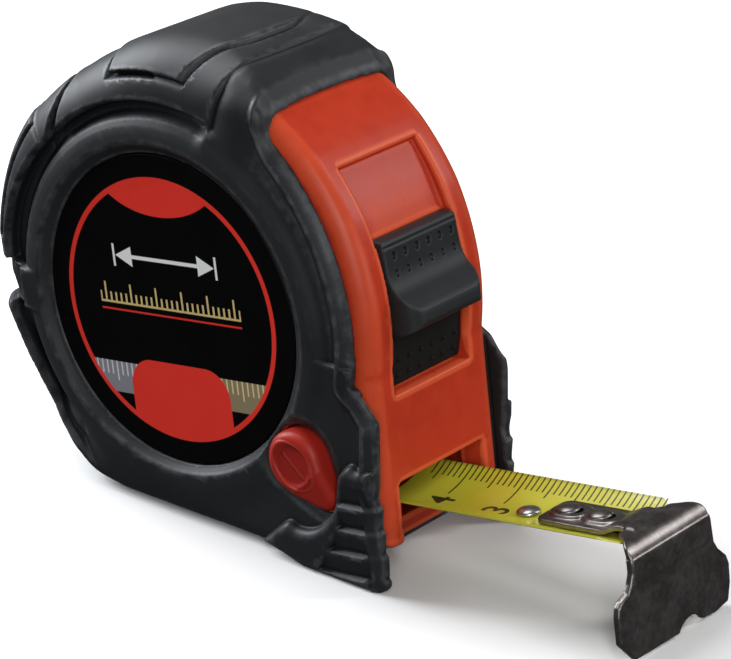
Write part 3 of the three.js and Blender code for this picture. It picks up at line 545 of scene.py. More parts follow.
class Block:
    """A block of space in millimetres; fields on it are negative inside a shape."""

    def __init__(self, low, high, step):
        self.low = np.array(low, float)
        self.step = step
        counts = np.ceil((np.array(high) - self.low) / step).astype(int) + 1
        self.shape = tuple(counts)
        axes = [self.low[i] + step * np.arange(counts[i]) for i in range(3)]
        self.x, self.y, self.z = np.ix_(*axes)

    def sample(self, field, points):
        """The field at any points, between its samples."""
        at = np.clip((points - self.low) / self.step, 0, np.array(self.shape) - 1.001)
        cell = at.astype(int)
        part = at - cell
        total = 0.0
        for corner in range(8):
            pick = np.array([corner >> 2 & 1, corner >> 1 & 1, corner & 1])
            weight = np.prod(np.where(pick, part, 1 - part), axis=1)
            total = total + weight * field[tuple((cell + pick).T)]
        return total

    def facets(self, field, keep):
        """Corner points and faces of the field's skin; `keep` lets flat areas have bigger faces."""
        limit = 3 * self.step
        grid = vdb.FloatGrid(limit)
        grid.copyFromArray(np.clip(field, -limit, limit).astype(np.float32), tolerance=1e-6)
        points, triangles, quads = grid.convertToPolygons(isovalue=0.0, adaptivity=keep)
        return self.low + points.astype(float) * self.step, [*triangles.tolist(), *quads.tolist()]

    def solid(self, name, field, keep=0.01, halves=None, frame=None):
        """Makes the field a smooth object, or one object on each side of the plane Y = `halves`."""
        field = np.ascontiguousarray(np.broadcast_to(field, self.shape)).astype(np.float32)
        points, faces = self.facets(field, keep)
        if halves is None:
            return self.finished(name, field, points, faces, None, 0, frame)
        return [
            self.finished(f"{side}_{name}", field, points, faces, halves + sign * HALVES_GAP, sign, frame)
            for side, sign in (("right", -1), ("left", 1))
        ]

    def finished(self, name, field, points, faces, cut_y, sign, frame):
        """A mesh of the skin, cut and closed at `cut_y`, with normals and bends read from the field."""
        mesh = bpy.data.meshes.new(name)
        mesh.from_pydata(points.tolist(), [], faces)
        shape = bmesh.new()
        shape.from_mesh(mesh)
        lid = shape.faces.layers.int.new("lid")
        if cut_y is not None:
            everything = [*shape.verts, *shape.edges, *shape.faces]
            away = {"clear_outer": sign < 0, "clear_inner": sign > 0}
            cut = bmesh.ops.bisect_plane(
                shape, geom=everything, plane_co=(0, cut_y, 0), plane_no=(0, 1, 0), **away
            )
            rim = [e for e in cut["geom_cut"] if isinstance(e, bmesh.types.BMEdge)]
            filled = bmesh.ops.triangle_fill(shape, edges=rim, use_beauty=True, normal=(0, -sign, 0))
            for face in filled["geom"]:
                if isinstance(face, bmesh.types.BMFace):
                    face[lid] = 1
        bmesh.ops.recalc_face_normals(shape, faces=shape.faces)
        shape.to_mesh(mesh)
        shape.free()
        where = np.zeros(len(mesh.vertices) * 3)
        mesh.vertices.foreach_get("co", where)
        where = where.reshape(-1, 3)
        near, far = 0.6 * self.step, 2.5 * self.step
        slope, bend = np.zeros_like(where), -6.0 * self.sample(field, where)
        for axis in np.eye(3):
            for way in (axis, -axis):
                slope += way * self.sample(field, where + way * near)[:, None]
                bend += self.sample(field, where + way * far)
        slope /= np.maximum(np.linalg.norm(slope, axis=1), 1e-9)[:, None]
        edge = mesh.attributes.new("edge", "FLOAT", "POINT")
        edge.data.foreach_set("value", (bend / far**2).astype(np.float32))
        corners = np.zeros(len(mesh.loops), int)
        mesh.loops.foreach_get("vertex_index", corners)
        normals = slope[corners]
        counts, lids = np.zeros(len(mesh.polygons), int), np.zeros(len(mesh.polygons), int)
        mesh.polygons.foreach_get("loop_total", counts)
        mesh.attributes["lid"].data.foreach_get("value", lids)
        normals[np.repeat(lids, counts) > 0] = (0, -sign, 0)
        mesh.polygons.foreach_set("use_smooth", np.ones(len(mesh.polygons), bool))
        mesh.attributes.remove(mesh.attributes["lid"])
        mesh.normals_split_custom_set(normals.tolist())
        mesh.transform(frame or Matrix.Identity(4))
        mesh.transform(Matrix.Scale(MM, 4))
        return link(name, mesh)


def settle(piece, body, finish, *nodes, slot=None):
    """Gives a piece its finish, its body and the CAD nodes it stands for."""
    piece.data.materials.clear()
    piece.data.materials.append(FINISHES.get(finish, finish))
    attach(piece, body)
    if nodes:
        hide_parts(*nodes)


# ---- casing and rubber -------------------------------------------------------------------------------
CROWN = polar(*polar(*polar(FRONT_X, REEL_Z, TOP_ANGLE, FRONT_R), 163, 7.4), 253, CROWN_R)
SCREWS = (
    (-19.6, 10.8),
    polar(*CROWN, 135.7, CROWN_R - 6.15),
    polar(*CROWN, 63.3, CROWN_R - 6.15),
    polar(FRONT_X, REEL_Z, -14.6, 31.8),
)


def side_outline(base_z, steps=60):
    """The casing's outline from the side, with its flat base at a given height."""
    crown = arc(*CROWN, CROWN_R, 73, 188, 2 * steps)
    back_x, back_z = crown[-1]
    slope = (HEEL_X - back_x) / (BASE_Z - back_z)
    heel_x = HEEL_X + slope * (base_z - BASE_Z)
    lean = math.degrees(math.atan(-slope))
    reach = HEEL_R / math.tan(math.radians(45 + lean / 2))
    heel = arc(heel_x + reach, base_z + HEEL_R, HEEL_R, 180 + lean, 270, 12)
    angles = np.linspace(-2, TOP_ANGLE, steps + 1)
    reaches = np.interp(angles, [-2, 10, 30, 45, TOP_ANGLE], [40.1, 40.4, 40.6, 40.2, 39.4])
    face = [polar(FRONT_X, REEL_Z, angle, reach) for angle, reach in zip(angles, reaches)]
    return [*heel, (30, base_z), (39.5, 5.5), *face, *crown]


def teardrop(x, z, grow=0.0):
    """Distance to the push button's outline."""
    (ax, az, ar), (bx, bz, br) = BUTTON, BUTTON_TAIL
    length = math.hypot(bx - ax, bz - az)
    heading = math.degrees(math.atan2(bz - az, bx - ax))
    lean = math.degrees(math.acos((ar - br) / length))
    outline = [
        *arc(bx, bz, br, heading - lean, heading + lean, 24),
        *arc(ax, az, ar, heading + lean, heading + 360 - lean, 60),
    ]
    return outline_distance(x, z, outline) - grow


def front_polar(block):
    """Radius and angle in degrees about the front arc's centre."""
    dx, dz = block.x - FRONT_X, block.z - REEL_Z
    return np.hypot(dx, dz), np.degrees(np.arctan2(dz, dx))


def sector(block, inner, outer, low, high):
    """Part of a ring about the front arc's centre, between two radii and two angles."""
    radius, angle = front_polar(block)
    middle, half = (low + high) / 2, (high - low) / 2
    sides = (np.abs(angle - middle) - half) * np.radians(1) * radius
    return np.maximum(np.maximum(inner - radius, radius - outer), sides)


def from_crown(block):
    """Distance and angle in degrees from the crown's centre."""
    dx, dz = block.x - CROWN[0], block.z - CROWN[1]
    return np.hypot(dx, dz), np.degrees(np.arctan2(dz, dx))


def bare_casing(block):
    """The casing as a plain closed body, and its outline: lower and rounder under the rubber behind."""
    outline = outline_distance(block.x, block.z, offset(side_outline(BASE_Z), -1.0)) - 1.0
    turn = from_crown(block)[1]
    behind = step(66, 84, np.abs(turn))
    outline = outline + 1.2 * band(turn, 92, 150, 10)
    rounding = CASING_ROUND + 6.3 * behind * step(8, 20, block.z)
    ring = band(np.hypot(block.x, block.z - REEL_Z), 28.8, 33.0, 1.0) * behind
    return both(outline, np.abs(block.y) - CASING_HALF_Y + 1.1 * ring, rounding), outline


def casing():
    block = Block((-36, -14.6, 0.4), (41, 14.6, 70), 0.3)
    x, y, z = block.x, block.y, block.z
    wide = np.abs(y)
    body, outline = bare_casing(block)
    front_wall = WALL + 1.0 * step(12, 24, x)
    hollow = both(both(outline + front_wall, wide - CASING_HALF_Y + WALL + 0.4, 6.0), FLOOR_Z - z)
    mouth = both(both(30 - x, wide - MOUTH_HALF), np.abs(z - 10.8) - 3.6, 0.6)
    window = both(sector(block, FRONT_R - WALL - 1, FRONT_R + 3, -7.2, 24.9), wide - WINDOW_HALF)
    track = both(sector(block, FRONT_R - 0.4, FRONT_R + 3, 23.9, 41.0), wide - WINDOW_HALF)
    chin = both(both(35.2 - x, wide - MOUTH_HALF), np.abs(z - 5.0) - 5.0, 0.3)
    for hole, rounding in ((hollow, None), (mouth, 0.25), (window, 0.25), (track, 0.45), (chin, 0.2)):
        body = without(body, hole, rounding)
    body = without(body, both(teardrop(x, z, 0.3), y + 11.0))
    for sx, sz in SCREWS:
        # A boss with a wider seat inside the left half, a hole for the shank and one for the head.
        near = np.hypot(x - sx, z - sz)
        body = np.minimum(body, both(near - 2.2, wide - 12.0))
        body = np.minimum(body, both(near - 3.2, np.abs(y - 11.2) - 1.2))
        body = without(body, both(near - 1.35, -9.3 - y))
        body = without(body, both(near - 2.35, 11.7 - y))
    for sx, sz in CLIP_SCREWS:
        body = without(body, both(np.hypot(x - sx, z - sz) - 1.45, -y))
    # The spring's seat is a post with a cup, which leaves room for the travel of the button.
    near = np.hypot(x - SPRING[0], z - SPRING[1])
    body = np.minimum(body, both(near - 3.2, np.maximum(-5 - y, y - 12)))
    body = without(body, both(near - 2.6, np.maximum(-6 - y, y + 3.1)))
    right, left = block.solid("casing_half", body, 0.012, PARTING_Y)
    settle(right, "case", "orange_plastic", "right_shell")
    settle(left, "case", "orange_plastic", "left_shell")


def ahead_of_rubber(block):
    """Distance to everything ahead of the rubber's front edge."""
    edge = arc(FRONT_X, REEL_Z, FRONT_R - 2.0, 76, -4, 60)
    flare = [(35.5, 28.4), (38.6, 25.3), (38.8, 14.3), (39.3, 13.2), (39.7, 10), (40.1, 7), (40.9, 2.6)]
    far = 90
    beyond = [(40.9, -far), (far, -far), (far, far)]
    side = outline_distance(block.x, block.z, [(edge[0][0], far), *edge, *flare, *beyond][::-1])
    rear = 17.1 + 1.2 * (block.y / 14) ** 2
    return both(side, rear - block.x, 1.2)


def ribs(block):
    """How far the bumper's side steps in under each of its ribs."""
    x, z = block.x, block.z
    pitch, slope_part = 3.67, 3.05
    level = z - 0.13 * (x - 35.5)
    saw = (15.64 - level) % pitch
    depth = 0.8 * np.minimum(saw / slope_part, (pitch - saw) / 0.62)
    start = np.interp(level, [0.9, 4.6, 8.3, 12.0, 15.6], [29.2, 31.2, 33.0, 33.0, 33.6])
    return depth * step(start - 0.8, start, x) * step(0.0, 0.4, 15.6 - level) * step(0.4, 1.0, z)


def foot(block):
    """The ribbed bumper at the lower front corner."""
    x, z, wide = block.x, block.z, np.abs(block.y)
    scallop = [
        (18.4, 1.9), (19.6, 2.9), (21.2, 4.5), (23.1, 6.1), (24.8, 5.7), (27.0, 6.0), (29.1, 7.2),
        (30.8, 9.2), (31.9, 11.4), (32.2, 14.0), (32.5, 16.2), (34.3, 18.1), (35.4, 17.8), (36.6, 18.0),
        (38.6, 18.5), (40.6, 18.8),
    ]
    sole = [(22.2, 1.0), (26.0, 0), (39.6, 0), (41.2, 1.0), (41.6, 2.6), (40.6, 13)]
    edge = outline_distance(x, z, [*curve(scallop)[::-1], *sole])
    bevel = wide - 15.3 + 0.55 * (x - 40.1) + 0.45 * ribs(block)
    return np.maximum(both(edge, wide - BUMPER_Y, 1.2) + ribs(block), bevel)


def jacket():
    block = Block((-39.4, -18, -0.6), (42.2, 18, 73.6), 0.26)
    x, y, z = block.x, block.y, block.z
    wide = np.abs(y)
    core, core_outline = bare_casing(block)
    rho, phi = np.hypot(x, z - REEL_Z), np.degrees(np.arctan2(z - REEL_Z, x))
    out, turn = from_crown(block)
    behind = step(64, 84, np.abs(turn))
    turn, around = turn % 360, phi % 360

    # The front panel runs from a radial line to the rubber's front edge; the rear has the ring's groove.
    line = (74.6 - np.where(around > 262, around - 360, around)) * np.radians(1) * rho
    panel = step(-0.1, 0.6, line)
    low = step(232, 250, around) * (1 - step(310, 340, around))
    rear = (1 - step(-2.4, 0.8, line)) * (1 - step(228, 246, around))
    front = panel * (1 - low) * (1 - step(200, 215, around) * (1 - step(300, 315, around)))

    # Side: a slope up from the label to the ring, and a deep groove behind it round the back.
    crest = 25.5 - 0.6 * low
    wider = 1.2 * step(130, 175, around)
    fall = np.interp(rho, [25.6, 26.6, 27.6, 28.6, 29.6], [0, 0.15, 0.45, 1.05, 2.5])
    relief = 1.25 * (1 - step(LABEL_R + 0.1, crest, rho))
    notch = band(z, 25.5, 31.6, 0.35) * (x < -19)
    gouge = rear * fall * (1 - step(30.6 + wider, 31.5 + wider, rho))
    relief = relief + gouge * (1 - notch) + 1.2 * notch * step(28.8, 29.8, rho)
    relief = relief + low * 0.45 * step(26.0, 31.0, rho)
    relief = np.maximum(relief, 1.25 * (1 - step(0.2, 2.6, teardrop(x, z))))

    # Front panel: a raised strip along the front edge and a dished valley behind it.
    ahead = ahead_of_rubber(block)
    on_side = np.interp(ahead, [0, 2.1, 2.7, 4.2, 9, 16], [1.25, 0.0, 0.85, 1.05, 0.75, 0.5])
    on_side = on_side * step(26.8, 29.5, rho) * (1 - 0.6 * step(58, 68, around))
    on_side = on_side + 0.7 * np.exp(-((line / 1.6) ** 2)) * step(29.8, 31.2, rho)
    on_top = np.interp(ahead, [0, 0.5, 1.3, 2.1, 3.0, 4.2, 7.0], [2.6, 2.1, 1.5, 0.9, 0.6, 0.2, -0.2])
    on_top = on_top + 0.25 * np.exp(-(((line - 0.5) / 0.5) ** 2)) * (1 - step(4, 9, y))
    sideways = step(12.0, 15.0, wide)
    relief = relief + front * (on_side * sideways + on_top * (1 - sideways))

    # Crown: the raised pad on top, the pad at the back, and the grooves round them.
    turns = [60, 74, 80, 88, 96, 104, 112, 124, 136, 147, 156, 176, 188]
    sinks = [-0.4, -0.6, -0.5, -0.1, 0.1, 0.6, 1.4, 1.8, 1.35, 0.7, 0.35, 0.05, 0.0]
    sink = np.interp(turn, turns, sinks) * (1 - panel) * (turn > 60)
    rubber_r = 36
    front_edge = 79.6 + 5.4 * np.minimum(wide / 14.2, 1.05) ** 3
    pad = np.maximum(front_edge - turn, turn - 111.5) * np.radians(1) * rubber_r
    pad = np.maximum(pad, 33.1 - out)
    fade = 1 - 0.85 * step(4.0, 9.0, y)
    before_rear = 1 - step(143.0, 144.0, turn)
    crown = 0.4 * step(-0.2, 0.3, pad) * before_rear * np.where(turn < 95, fade, 1)
    crown = crown + 1.3 * (1 - step(0.15, 0.55, np.abs(pad))) * np.where(turn < 95, 0.4 * fade, 1)
    rear_pad = np.maximum(144.5 - turn, turn - 181) * np.radians(1) * rubber_r
    rear_pad = np.maximum(rear_pad, 34.2 - out)
    crown = crown + 1.1 * (1 - step(0.15, 0.55, np.abs(rear_pad)))
    slant = 129.0 + 2.1 * np.maximum(0, 35 - out)
    gap = np.abs(turn - slant) * np.radians(1) * out - 0.2 * np.maximum(0, 34 - out)
    crown = crown + 1.5 * (1 - step(0.4, 0.85, gap)) * step(28.0, 29.0, out)
    crown = crown * (1 - panel) * (turn < 178) * (turn > 60)
    heights = [0, 3.8, 7, 10, 13.5, 17, 20, 25.3, 25.7, 31.3, 32.8, 35.5]
    carves = [0.6, 2.0, 2.4, 2.1, 1.3, 0.8, 0.66, 0.5, 0.1, 0.5, 0.5, 0.0]
    sink = np.where(turn >= 178, np.interp(z, heights, carves) * (1 - step(-19, -9, x)), sink)
    relief = relief + crown * step(29.5, 31.5, rho)

    base = outline_distance(x, z, offset(side_outline(JACKET), JACKET - 5.0)) - 5.0
    rounding = 3.0 + 1.5 * step(0.0, 8.0, z)
    rounding = rounding + (3.6 - 1.4 * step(0.0, 8.0, y)) * step(24.0, 26.5, z) * behind
    rubber = both(base + sink, wide - SIDE_Y, rounding) + np.minimum(relief, 2.7)

    # Nose: the strip stands higher beside the mouth and runs down into the bumper.
    lift = 1 - step(23.0, 28.0, z)
    rising = wide - 14.25 - 0.95 * lift - 0.53 * ahead
    falling = wide - SIDE_Y - 0.8 * lift + 1.4 * (ahead - 2.2)
    nose = [
        (20, 0), (39.6, 0), (41.2, 1.2), (41.5, 2.6), (40.0, 13.2), (39.5, 24.9), (35.9, 28.5), (35.4, 32),
        (20, 40),
    ]
    strip = both(outline_distance(x, z, nose), np.maximum(rising, falling), 0.3)
    rubber = joined(rubber, strip, 0.4)
    rubber = joined(rubber, foot(block), 0.4)
    rubber = np.minimum(rubber, core - 0.6)
    rubber = both(rubber, 0.6 * ribs(block) - ahead, 0.35)

    # Openings: the bare front, the casing itself, the label, an arch underneath, button and screws.
    bare_front = both(both(wide - 14.15, -1.7 - core_outline), 31.5 - x)
    rubber = without(rubber, bare_front, 0.3)
    rubber = without(rubber, core - 0.05)
    rubber = without(rubber, both(rho - LABEL_R - 0.05, 10 - wide))
    rubber = both(rubber, np.interp(x, [-8, 2, 10, 15, 19], [0, 0.25, 1.0, 0.8, 0]) - z)
    rubber = without(rubber, both(teardrop(x, z, 0.45), y + 10))
    for sx, sz in SCREWS:
        rubber = without(rubber, both(np.hypot(x - sx, z - sz) - 2.8, 10 - y))
    right, left = block.solid("rubber", rubber, 0.012, PARTING_Y)
    settle(right, "case", "black_rubber", "right_jacket")
    settle(left, "case", "black_rubber", "left_jacket")


# ---- labels ------------------------------------------------------------------------------------------
def mesh_of(name, shape, crease=None):
    """Ends a bmesh: faces outward and smooth, with edges sharp that turn by more than `crease`."""
    bmesh.ops.recalc_face_normals(shape, faces=shape.faces)
    for face in shape.faces:
        face.smooth = True
    if crease:
        for edge in shape.edges:
            edge.smooth = edge.calc_face_angle(0) < crease
    mesh = bpy.data.meshes.new(name)
    shape.to_mesh(mesh)
    shape.free()
    return mesh


def lathe(name, profile, frame, steps):
    """Turns a profile of (radius, height) about the Z axis of a frame."""
    shape = bmesh.new()
    rings = []
    for radius, height in profile:
        if radius < 1e-6:
            rings.append([shape.verts.new((0, 0, height))])
            continue
        turns = [2 * math.pi * i / steps for i in range(steps)]
        rings.append([shape.verts.new((radius * math.cos(t), radius * math.sin(t), height)) for t in turns])
    for lower, upper in zip(rings, rings[1:]):
        for i in range(steps):
            j = (i + 1) % steps
            ends = (lower, i), (lower, j), (upper, j), (upper, i)
            corners = list(dict.fromkeys(ring[at % len(ring)] for ring, at in ends))
            if len(corners) > 2:
                shape.faces.new(corners)
    return stand(name, mesh_of(name, shape), frame)


def labels():
    """Two discs with a rounded rim, barely domed."""
    turns = np.linspace(0, math.pi / 2, 6)
    rim = [(LABEL_R - LABEL_ROUND * (1 - math.sin(a)), LABEL_ROUND * (math.cos(a) - 1)) for a in turns]
    profile = [(0, 0.02), (8, 0.02), (16, 0.01), (LABEL_R - 0.5, 0.0), *rim, (LABEL_R, -0.7), (0, -0.7)]
    for name, side, finish, node in (
        ("dial_label", -1, FINISHES["label"], "right_label"),
        ("back_label", 1, label_finish(False), "left_label"),
    ):
        way = Vector((0, 0, 1)).rotation_difference(Vector((0, side, 0))).to_matrix().to_4x4()
        disc = lathe(name, profile, Matrix.Translation((0, side * LABEL_OUT_Y, REEL_Z)) @ way, 160)
        settle(disc, "case", finish, node, slot="label")


# ---- thumb lock --------------------------------------------------------------------------------------
def slider():
    block = Block((28, -9.2, 24), (46, 9.2, 52.5), 0.13)
    x, y, z = block.x, block.y, block.z
    wide = np.abs(y) - SLIDER_HALF
    lip = 4.8

    # Its face as (angle, height over the front arc), from the lower plate up to the thumb rest.
    face = [
        (-6.9, -0.5), (-3, -0.45), (3.0, -0.4), (4.1, 0.3), (5.2, 1.6), (6.4, 3.6), (6.8, 4.0), (7.2, 4.3),
        (8.3, lip), (9.8, 4.75), (10.6, 4.45), (12.0, 3.45), (14.4, 1.9), (17.3, 1.25), (21, 1.45),
        (23.2, 1.75),
    ]
    face = [polar(FRONT_X, REEL_Z, a, FRONT_R + r) for a, r in curve(face, 6)]
    top = [polar(FRONT_X, REEL_Z, 24.2, FRONT_R + 1.55), polar(FRONT_X, REEL_Z, 25.1, FRONT_R + 0.1)]
    under = arc(FRONT_X, REEL_Z, FRONT_R - 0.3, 25.2, 9.6, 20) + arc(FRONT_X, REEL_Z, 37.5, 9.6, -6.9, 20)
    body = both(outline_distance(x, z, [*face, *top, *under]), wide, 0.3)
    radius, angle = front_polar(block)
    body = both(body, both(radius - FRONT_R - lip, wide, 2.8), 0.1)
    groove = np.hypot((angle - 23.0) * np.radians(1) * radius, radius - FRONT_R - 1.85) - 0.3
    body = without(body, groove, 0.1)
    for i in range(6):
        for degrees in (21.0, 17.5):
            cx, cz = polar(FRONT_X, REEL_Z, degrees, FRONT_R + 1.45)
            side = DOT_SIDE + DOT_APART * i
            pit = np.sqrt(((x - cx) / 0.7) ** 2 + ((y - side) / 0.42) ** 2 + ((z - cz) / 0.6) ** 2) - 1
            body = without(body, 0.45 * pit)
    made = block.solid("thumb_slider", body)
    settle(made, "thumb_lock", "black_plastic", "lock_slider")
    inputs = {
        "Count": 12, "In a row": 6.0, "Radius": FRONT_R - 0.45, "Lower angle": -0.0785, "Row angle": 0.0611,
        "First side": DOT_SIDE, "Apart": DOT_APART, "Dot": 0.42, "Finish": FINISHES["black_plastic"],
    }
    dots = geometry_piece("slider_dots", dot_tree, inputs)
    settle(dots, "thumb_lock", "black_plastic")


def dot_tree(graph, size):
    """Rows of raised dots on the slider's lower plate."""
    points = graph.node("GeometryNodeMeshLine", {"mode": "OFFSET"}, {"Count": size["Count"]})
    number = graph.node("GeometryNodeInputIndex") + 0.0
    column = number % size["In a row"]
    row = (number - column) / size["In a row"]
    angle = size["Lower angle"] + row * size["Row angle"]
    along = size["Radius"] * angle.cosine() + FRONT_X
    up = size["Radius"] * angle.sine() + REEL_Z
    side = size["First side"] + column * size["Apart"]
    place = graph.vector(along, side, up)
    placed = graph.node("GeometryNodeSetPosition", {}, {"Geometry": points, "Position": place})
    dot = graph.node("GeometryNodeMeshUVSphere", {}, {"Segments": 10, "Rings": 6, "Radius": size["Dot"]})
    dots = graph.node("GeometryNodeInstanceOnPoints", {}, {"Points": placed, "Instance": dot})
    solid = graph.node("GeometryNodeRealizeInstances", {}, {0: dots})
    smooth = graph.node("GeometryNodeSetShadeSmooth", {}, {"Geometry": solid})
    return graph.node("GeometryNodeSetMaterial", {}, {"Geometry": smooth, "Material": size["Finish"]})


def stop_button():
    """The push button: a crowned teardrop with a dished thumb rest, falling off towards its narrow end."""
    block = Block((18, -18, 8.2), (33, -9.6, 22), 0.11)
    x, y, z = block.x, block.y, block.z
    shape = teardrop(x, z)
    dish = 0.35 * (1 - step(2.6, 3.6, np.hypot(x - 24.5, (z - 15.5) * 1.05)))
    way_x, way_z = BUTTON_TAIL[0] - BUTTON[0], BUTTON_TAIL[1] - BUTTON[1]
    tail_length = 6.3
    tail = ((x - BUTTON[0]) * way_x + (z - BUTTON[1]) * way_z) / tail_length
    face = BUTTON_FACE_Y - y + dish + 0.3 * np.maximum(0, tail - 3.4)
    cap = both(both(shape, face, 1.3), y + 10.9)
    flange = both(shape - 0.8, np.abs(y + 11.2) - 0.3, 0.1)
    made = block.solid("push_button", np.minimum(cap, flange))
    settle(made, "stop_button", "red_plastic", "stop_button")


# ---- blade and hook: +X along the blade, +Z off its face ----------------------------------------------
BLADE_FRAME = Matrix.Translation((38, 0, 8.3)) @ Matrix.Rotation(-math.radians(8.2), 4, "Y")
TROUGH_R = (BLADE_HALF**2 + BLADE_RISE**2) / (2 * BLADE_RISE)


def trough(y, lift=0.0):
    """Height of the blade's upper face at a distance from its middle."""
    return TROUGH_R - np.sqrt((TROUGH_R - BLADE_T - lift) ** 2 - np.asarray(y) ** 2)


def blade():
    """A thin trough of steel whose tip narrows, so that its corners clear the hook."""
    spread = math.asin(BLADE_HALF / TROUGH_R) * np.linspace(-1, 1, 41)
    count = len(spread)

    def across(u, radius):
        turns = spread * (1.0 - 0.26 * np.clip((u - 33.8) / 2.4, 0, 1))
        return [(u, radius * math.sin(t), TROUGH_R - radius * math.cos(t)) for t in turns]

    shape = bmesh.new()
    rows = []
    for u in np.linspace(BLADE_START, BLADE_TIP, 91):
        section = across(u, TROUGH_R - BLADE_T) + across(u, TROUGH_R)[::-1]
        rows.append([shape.verts.new(p) for p in section])
    for a, b in zip(rows, rows[1:]):
        for i in range(2 * count):
            j = (i + 1) % (2 * count)
            shape.faces.new((a[i], a[j], b[j], b[i]))
    for row in (rows[0], rows[-1]):
        for i in range(count - 1):
            shape.faces.new((row[i], row[i + 1], row[2 * count - 2 - i], row[2 * count - 1 - i]))
    made = stand("blade_strip", mesh_of("blade_strip", shape, 0.6), BLADE_FRAME)
    settle(made, "blade", "blade_paint", "blade")


def ink_finish(name, dark, light):
    finish = Finish(name, coat_weight=0.3, coat_roughness=0.2)
    finish.drive("Base Color", finish.mix(finish.cloud(0.6), dark, light))
    finish.drive("Roughness", 0.4 + finish.cloud(1.5) * 0.15)
    return finish.material


def digit(text, u, y, ink):
    """A printed digit that follows the blade's trough, its top towards the casing."""
    name = f"digit_{text}"
    data = bpy.data.curves.new(name, "FONT")
    data.body = text
    data.size = DIGIT_SIZE
    data.align_x = "CENTER"
    data.align_y = "CENTER"
    data.extrude = 0.012
    data.offset = 0.05
    letter = link(name, data)
    mesh = final_mesh(letter)
    bpy.data.objects.remove(letter)
    mesh.transform(Matrix.Translation((u, y, 0)) @ Matrix.Rotation(math.radians(90), 4, "Z"))
    shape = bmesh.new()
    shape.from_mesh(mesh)
    for i in range(-24, 25):
        everything = [*shape.verts, *shape.edges, *shape.faces]
        bmesh.ops.bisect_plane(shape, geom=everything, plane_co=(0, i * 0.35, 0), plane_no=(0, 1, 0))
    for vert in shape.verts:
        vert.co.z += float(trough(vert.co.y, 0.014))
    bmesh.ops.remove_doubles(shape, verts=shape.verts, dist=1e-4)
    bmesh.ops.recalc_face_normals(shape, faces=shape.faces)
    shape.to_mesh(mesh)
    shape.free()
    mesh.name = name
    settle(stand(name, mesh, BLADE_FRAME), "blade", ink, slot="blade_paint")


def geometry_piece(name, fill, inputs, frame=None):
    """Runs a geometry tree with named inputs and keeps its result as a plain mesh."""
    tree = bpy.data.node_groups.new(name, "GeometryNodeTree")
    tree.interface.new_socket("Geometry", in_out="OUTPUT", socket_type="NodeSocketGeometry")
    kinds = {float: "NodeSocketFloat", int: "NodeSocketInt", bpy.types.Material: "NodeSocketMaterial"}
    for key, value in inputs.items():
        tree.interface.new_socket(key, in_out="INPUT", socket_type=kinds[type(value)])
    graph = Graph(tree)
    entry = tree.nodes.new("NodeGroupInput")
    named = {key: Value(graph, entry.outputs[key]) for key in inputs}
    result = fill(graph, named)
    leave = tree.nodes.new("NodeGroupOutput")
    tree.links.new(result.socket, leave.inputs[0])
    made = link(name, bpy.data.meshes.new(name))
    modifier = made.modifiers.new("shape", "NODES")
    modifier.node_group = tree
    for item in tree.interface.items_tree:
        if item.in_out == "INPUT":
            modifier[item.identifier] = inputs[item.name]
    mesh = final_mesh(made)
    made.modifiers.remove(modifier)
    made.data = mesh
    mesh.transform(Matrix.Scale(MM, 4) @ (frame or Matrix.Identity(4)))
    return made


def tick_tree(graph, size):
    """One tick every pitch, longer at fives and longest at tens, laid on the trough."""
    start = graph.vector(size["First"], size["Edge"])
    apart = graph.vector(-size["Pitch"])
    sockets = {"Count": size["Count"], "Start Location": start, "Offset": apart}
    line = graph.node("GeometryNodeMeshLine", {"mode": "OFFSET"}, sockets)
    number = graph.node("GeometryNodeInputIndex") + size["First number"]
    ten = (number % 10.0) < 0.5
    five = (number % 5.0) < 0.5
    reach = size["Short"] + five * (size["Middle"] - size["Short"]) + ten * (size["Long"] - size["Middle"])
    block = {"Size": (1.0, 1.0, 0.03), "Vertices X": 2, "Vertices Y": 7, "Vertices Z": 2}
    bar = graph.node("GeometryNodeMeshCube", {}, block)
    bar = graph.node("GeometryNodeTransform", {}, {"Geometry": bar, "Translation": (0.0, -0.5, 0.0)})
    scale = graph.vector(size["Width"], reach, 1.0)
    placed = {"Points": line, "Instance": bar, "Scale": scale}
    ticks = graph.node("GeometryNodeInstanceOnPoints", {}, placed)
    solid = graph.node("GeometryNodeRealizeInstances", {}, {0: ticks})
    across = graph.node("ShaderNodeSeparateXYZ", {}, {0: graph.node("GeometryNodeInputPosition")}, 1)
    height = size["Trough"] - (size["Face"] * size["Face"] - across * across).root()
    lift = graph.vector(0.0, 0.0, height)
    laid = graph.node("GeometryNodeSetPosition", {}, {"Geometry": solid, "Offset": lift})
    return graph.node("GeometryNodeSetMaterial", {}, {"Geometry": laid, "Material": size["Ink"]})


def scale_print():
    """The blade's ticks and its centimetre numbers."""
    ink = ink_finish("black_ink", (0.035, 0.034, 0.008), (0.06, 0.056, 0.012))
    inputs = {
        "Count": 41, "First": 34.4, "First number": 6.0, "Edge": 7.85, "Pitch": 1.0, "Width": 0.24,
        "Short": 2.5, "Middle": 3.5, "Long": 6.3, "Trough": TROUGH_R, "Face": TROUGH_R - BLADE_T - 0.012,
        "Ink": ink,
    }
    ticks = geometry_piece("blade_ticks", tick_tree, inputs, BLADE_FRAME)
    settle(ticks, "blade", ink, slot="blade_paint")
    for number in range(1, 5):
        digit(str(number), 41.1 - 10.0 * number, -0.8, ink)


